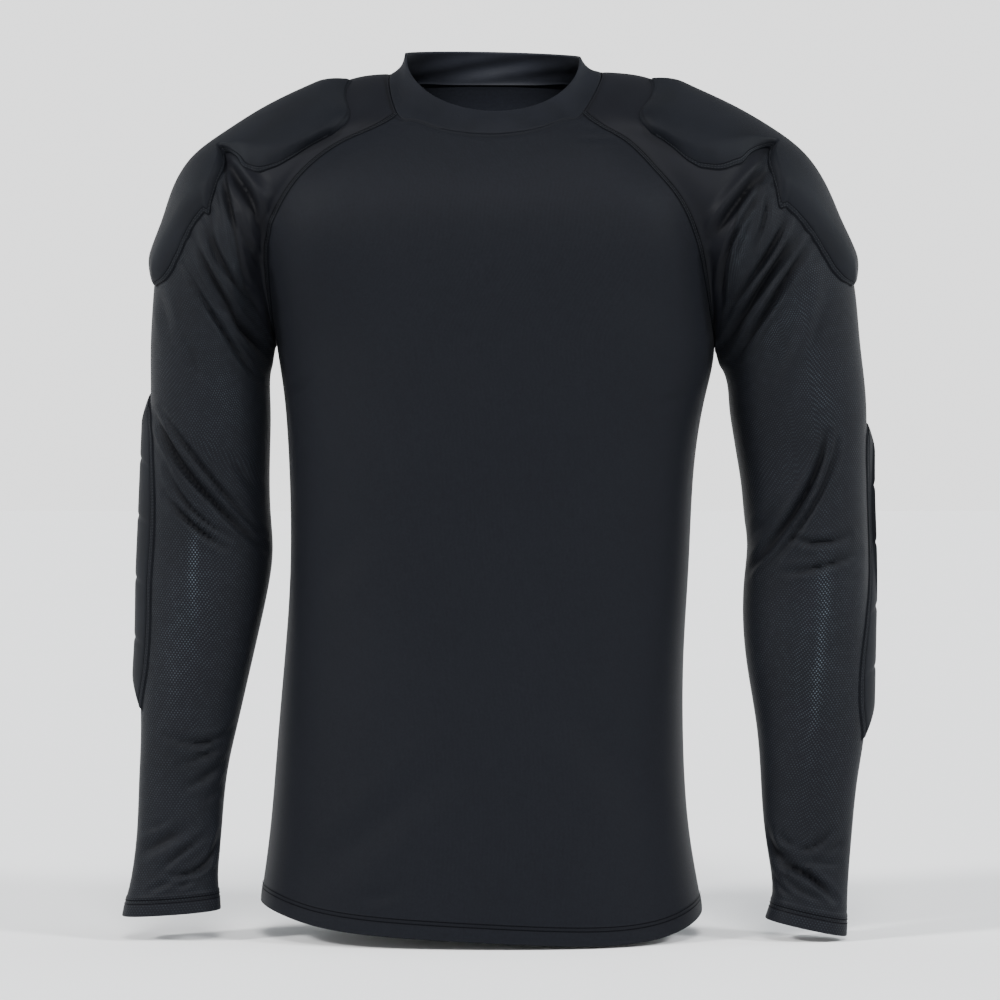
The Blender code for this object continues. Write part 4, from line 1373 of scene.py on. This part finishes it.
def pad(name, sleeve_name, outline, rows, shares, height, slant=0.0, hump=0.0, grooves=()):
    """Lays a padded cover on a sleeve; returns the points, normals and distances for its stitches."""
    across, along, to_side, to_filled = pad_grid(sleeve_name, outline, rows, shares, slant, hump)
    form, normals = sample(charts, sleeve_name, across, along)
    sunk = np.sum((form - folded(form, normals)) * normals, axis=-1, keepdims=True)
    lying = form - normals * np.clip(sunk, -RIDGE_FOLLOWED, TROUGH_FOLLOWED)
    distance = to_outline(form, to_side)
    inward = np.clip((to_outline(form, to_filled) - PAD_RIM) / PAD_ROUNDING, 0.0, 1.0)
    dome = mix(inward * (2.0 - inward), smooth_step(0.0, 1.0, inward), PAD_SOFTNESS)
    thick = PAD_RIM_HEIGHT * fullness(distance) + (height - PAD_RIM_HEIGHT) * dome
    spine = run_length(form[len(shares) // 2])
    for groove in grooves:
        away = spine - np.interp(groove, rows, spine)
        thick -= GROOVE_DEPTH * ridge(away, GROOVE_WIDTH) * inward
    base = mix(lying, form, inward[..., None])
    # The rim lines are sunk into the pad, and their mark darkens its colour as painted shade.
    rim = sum(ridge(distance - line, PAD_LINE_WIDTH) for line in PAD_LINES)
    thick -= PAD_LINE_DEPTH * rim
    inner = lying + normals * PAD_CLEARANCE
    outer = base + normals * (PAD_CLEARANCE + thick)[..., None]
    flat = grid_map(form, len(shares) // 2)
    mesh = cloth_wall(name + "_cover", outer, inner, flat, seam=np.clip(rim, 0, 1))
    piece = add_piece(name + "_cover", mesh, pad_cloth, name)
    return outer, normals, distance


# %% Shoulder pads and elbow pads
SHOULDER_HEIGHT = 8.4
ELBOW_HEIGHT = 7.4
RIM_SHARES = (0.0, 0.006, 0.012)
SHOULDER_FINENESS = (48, 128)
ELBOW_FINENESS = (32, 150)

pad_surfaces = {}


def add_pad(kind, side, outline, fineness, height, **shape):
    """A pad from its fineness across and along, with places close to its rim added."""
    across, along = fineness
    rows = mix(outline[0].row, outline[-1].row, spread(1, along, RIM_SHARES, RIM_SHARES))
    shares = spread(2, across, RIM_SHARES, RIM_SHARES) - 1
    name = kind + side
    pad_surfaces[name] = pad(name, "sleeve_" + side, outline, rows, shares, height, **shape)


for side in ("right", "left"):
    add_pad(
        "shoulder_pad_", side, SHOULDER_PAD, SHOULDER_FINENESS, SHOULDER_HEIGHT, hump=SHOULDER_HUMP
    )
for side in ("right", "left"):
    add_pad(
        "elbow_pad_", side, ELBOW_PAD[side], ELBOW_FINENESS, ELBOW_HEIGHT,
        slant=ELBOW_SLANT, grooves=ELBOW_GROOVES[side],
    )


# %% [markdown]
# Rows of stitches hold the panels flat. Short cover stitches lie on top beside the seams and round the
# pads. Longer ones sink into the cloth as needle lines, also above the hem and the cuffs; they overlap
# into a nearly black line, which paints the shade in the needle line.
# Each stitch is a small drawn-out ball, repeated along a path. One mesh of copies is filled at once,
# because thousands of separate objects would slow everything down.

# %% One row of stitches
Stitch = namedtuple("Stitch", "length width height pitch")
COVER = Stitch(1.9, 0.7, 0.45, 2.8)
NEEDLE = Stitch(3.3, 0.62, 0.3, 2.4)
STITCH_AIM = 0.4


def stitch_template():
    """One stitch as a low ball, one unit long, wide and high."""
    bm = bmesh.new()
    bmesh.ops.create_uvsphere(bm, u_segments=6, v_segments=4, radius=0.5)
    turn = Matrix.Rotation(math.radians(90), 3, "Y")
    bmesh.ops.rotate(bm, verts=bm.verts, cent=(0, 0, 0), matrix=turn)
    return mesh_of(bm, "stitch")


def along_path(stops, length, values):
    """The values of a path's points, read at some lengths along it."""
    return np.stack([np.interp(stops, length, column) for column in values.T], axis=1)


def spaced(path, normals, pitch):
    """Evenly spaced places along a path, each with its direction and its outward normal."""
    length = run_length(path)
    count = max(int(length[-1] / pitch), 1)
    stops = (np.arange(count) + 0.5) * length[-1] / count
    centre = along_path(stops, length, path)
    outward = along_path(stops, length, normals)
    ahead, behind = (along_path(stops + aim, length, path) for aim in (STITCH_AIM, -STITCH_AIM))
    forward = unit(ahead - behind)
    outward -= forward * np.sum(outward * forward, axis=1, keepdims=True)
    return centre, forward, unit(outward)


def sew(name, paths, stitch=COVER, finish=None):
    """All stitches along the given paths as one piece."""
    places = [spaced(*path, stitch.pitch) for path in paths]
    centre, forward, outward = (np.concatenate(parts) for parts in zip(*places))
    template = stitch_template()
    shape = positions(template) * (stitch.length, stitch.width, stitch.height)
    bm = bmesh.new()
    for _ in range(len(centre)):
        bm.from_mesh(template)
    mesh = mesh_of(bm, name)
    frames = np.stack((forward, np.cross(outward, forward), outward), axis=1)
    points = centre[:, None] + shape @ frames
    mesh.vertices.foreach_set("co", (points * MM).ravel())
    mesh.update()
    print(name, "has", len(centre), "stitches")
    return add_piece(name, mesh, finish or thread)


# %% [markdown]
# A seam's stitches lie a few millimetres from the edge of each panel. The distance is measured on the
# panel itself, so the rows stay even where the chart is squeezed.

# %% Paths beside the edges of a panel
SEAM_OFFSET = 1.1
STITCH_LIFT = 0.1
SEARCHED = {"row": 4.0, "column": 0.6}
SEARCH_STEPS = 120
PATH_STEP = 0.1


def beside_edge(panel, axis, end, offset, start, stop, lift=0.0, step=PATH_STEP):
    """A path along an edge of a panel, at an offset in from it, with its normals."""
    columns, rows, _ = PANELS[panel]
    stations = np.arange(start, stop + step / 2, step)
    deep = np.linspace(0.0, SEARCHED[axis], SEARCH_STEPS)
    path = []
    for station in stations:
        inward = deep if end == "first" else (columns if axis == "column" else rows) - deep
        fixed = np.full(len(deep), station)
        pair = (inward, fixed) if axis == "column" else (fixed, inward)
        line = sample(charts, panel, *pair)[0]
        place = np.interp(offset, run_length(line), inward)
        path.append((place, station) if axis == "column" else (station, place))
    across, along = np.array(path).T
    points, normals = sample(charts, panel, across, along)
    return folded(points, normals) + normals * (STITCH_LIFT + lift), normals


def pad_path(surface, offset):
    """A closed path on a pad's rim, at an offset in from its outline."""
    outer, normals, distance = surface
    columns, rows = distance.shape
    half = columns // 2
    path = []
    for row in range(rows):
        if distance[half, row] > offset:
            line = distance[: half + 1, row]
            path.append((np.interp(offset, line, np.arange(half + 1)), row))
    for row in range(rows - 1, -1, -1):
        if distance[half, row] > offset:
            line = distance[half:, row][::-1]
            path.append((columns - 1 - np.interp(offset, line, np.arange(columns - half)), row))
    path.append(path[0])
    across, along = np.array(path).T
    left = np.minimum(across.astype(int), columns - 2)
    share = (across - left)[:, None]
    row = along.astype(int)
    points = mix(outer[left, row], outer[left + 1, row], share)
    return points + normals[left, row] * STITCH_LIFT, normals[left, row]


# %% Sew the seams
HEM_STITCHES = (12.2, 15.4)
CUFF_STITCHES = (10.5, 13.7)
PAD_STITCHES = (2.0, 3.9)
CUFF_PATH_STEP = 0.2
BODY_EDGES = {"right": "first", "left": "last"}


def raglan_paths(offset):
    """Paths beside all four raglan seams, on the body and on the sleeves."""
    paths = []
    for side, end in BODY_EDGES.items():
        for panel in ("front_panel", "back_panel"):
            paths.append(beside_edge(panel, "column", end, offset, UNDERARM_ROW, BODY_ROWS))
        for start, stop in ((0.0, HALF_ARM - 1), (HALF_ARM + 1, ARM_COLUMNS)):
            paths.append(beside_edge("sleeve_" + side, "row", "first", offset, start, stop))
    return paths


sew("raglan_stitches", raglan_paths(SEAM_OFFSET))
# Needle lines take the nearly black finish, as painted shade.
sew("raglan_needle_shade_lines", raglan_paths(NEEDLE_LINE), NEEDLE, needle_shade_line)

# The hem and cuff stitches take the same nearly black finish, painted shade in their needle lines.
hem_paths = [
    beside_edge(panel, "row", "first", offset, 0.0, BODY_COLUMNS, HEM_RAISE)
    for panel in ("front_panel", "back_panel")
    for offset in HEM_STITCHES
]
sew("hem_shaded_stitches", hem_paths, NEEDLE, needle_shade_line)

cuff_paths = [
    beside_edge("sleeve_" + side, "row", "last", offset, 0.0, ARM_COLUMNS, HEM_RAISE, CUFF_PATH_STEP)
    for side in BODY_EDGES
    for offset in CUFF_STITCHES
]
sew("cuff_shaded_stitches", cuff_paths, NEEDLE, needle_shade_line)

# Round the pads, cover stitches lie on top and the needle lines take the nearly black finish of painted
# shade.
for kind in ("shoulder_pad", "elbow_pad"):
    for ending, offsets, stitch, finish in (
        ("_stitches", PAD_STITCHES, COVER, thread),
        ("_needle_shade_lines", PAD_LINES, NEEDLE, needle_shade_line),
    ):
        surfaces = [pad_surfaces[f"{kind}_{side}"] for side in BODY_EDGES]
        rims = [pad_path(surface, offset) for surface in surfaces for offset in offsets]
        sew(kind + ending, rims, stitch, finish)


# %% [markdown]
# The floor is a very wide pale disc just under the cuffs and hem. Sun lights reach all of it evenly, so
# it is as bright at the horizon as near the shirt, and the sky takes over at the same brightness without
# a visible line.

# %% Floor
FLOOR_RADIUS = 120.0
FLOOR_DROP = 0.002


def floor_finish():
    material, wires = start_finish("pale_floor")
    patches = cloud(wires, 0.8)
    color = patches.tint((0.88, 0.88, 0.88, 1), (0.90, 0.90, 0.90, 1))
    end_finish(material, color, 0.85 + patches * 0.05, Specular_IOR_Level=0.1)
    return material


def add_floor():
    bm = bmesh.new()
    bmesh.ops.create_circle(bm, cap_ends=True, segments=96, radius=FLOOR_RADIUS)
    bmesh.ops.translate(bm, verts=bm.verts, vec=(0, 0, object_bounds()[0][2] - FLOOR_DROP))
    mesh = mesh_of(bm, "studio_floor")
    mesh.materials.append(floor_finish())
    add_object("studio_floor", mesh)


add_floor()

# %% [markdown]
# Black cloth only shows its folds when the light comes from the side, so the two main lights stand left
# and right of the camera. A third shines down from the front, and two weak ones catch the edges of the
# sleeves. Each is a sun with a wide face, which has the softness of a large studio box but doesn't fall
# off with distance.

# %% Lights
def sun_light(name, turn, height, strength, softness, color=(1.0, 1.0, 1.0)):
    """A wide sun: turned from the camera's side of the shirt, and raised, in degrees."""
    data = bpy.data.lights.new(name, "SUN")
    data.energy, data.color, data.angle = strength, color, math.radians(softness)
    light = add_object(name, data)
    light.rotation_euler = (math.radians(90 - height), 0, math.radians(turn))


sun_light("key", -58, 34, 3.4, 10)
sun_light("fill", 60, 34, 2.6, 12, (0.96, 0.98, 1.0))
sun_light("front", 4, 50, 2.5, 20)
sun_light("left_edge", -112, 24, 0.7, 25, (0.86, 0.95, 1.0))
sun_light("right_edge", 104, 24, 1.1, 25, (0.86, 0.95, 1.0))

# %% [markdown]
# The collar shades the inside of the neck. A narrow spot from above the camera lifts it a little and
# leaves the chest alone.

# %% Light in the neck
NECK_LIGHT_PLACE = (0.0, -1.4, 0.7)
NECK_LIGHT_AIM = (0.0, 0.054, 0.004)
NECK_LIGHT_CONE = 6.2
NECK_LIGHT_POWER = 500.0
NECK_LIGHT_SIZE = 0.03


def neck_light():
    """A narrow spot for the inside of the neck, which the collar keeps in shadow."""
    data = bpy.data.lights.new("neck_spot", "SPOT")
    data.energy, data.spot_size, data.spot_blend = NECK_LIGHT_POWER, math.radians(NECK_LIGHT_CONE), 1.0
    data.shadow_soft_size = NECK_LIGHT_SIZE
    light = add_object("neck_spot", data)
    light.location = NECK_LIGHT_PLACE
    towards = Vector(NECK_LIGHT_AIM) - light.location
    light.rotation_euler = towards.to_track_quat("-Z", "Y").to_euler()


neck_light()

# %% [markdown]
# The sky fills the view behind the shirt and lights the cloth from all round. It matches the floor at
# the horizon and fades upwards, so the shoulders stay black.

# %% Sky
SKY_LOW = (1.95, 1.96, 1.97, 1.0)
SKY_HIGH = (0.30, 0.31, 0.33, 1.0)
SKY_FADE = (0.16, 0.45)


def studio_sky():
    world = bpy.data.worlds.new("studio")
    world.use_nodes = True
    wires = Wire(world.node_tree)
    direction = wires.node("TexCoord", output="Generated")
    height = wires.node("SeparateXYZ", None, {"Vector": direction}, output="Z")
    color = height.ramp(*SKY_FADE).tint(SKY_LOW, SKY_HIGH)
    world.node_tree.links.new(color.socket, world.node_tree.nodes["Background"].inputs["Color"])
    bpy.context.scene.world = world


studio_sky()
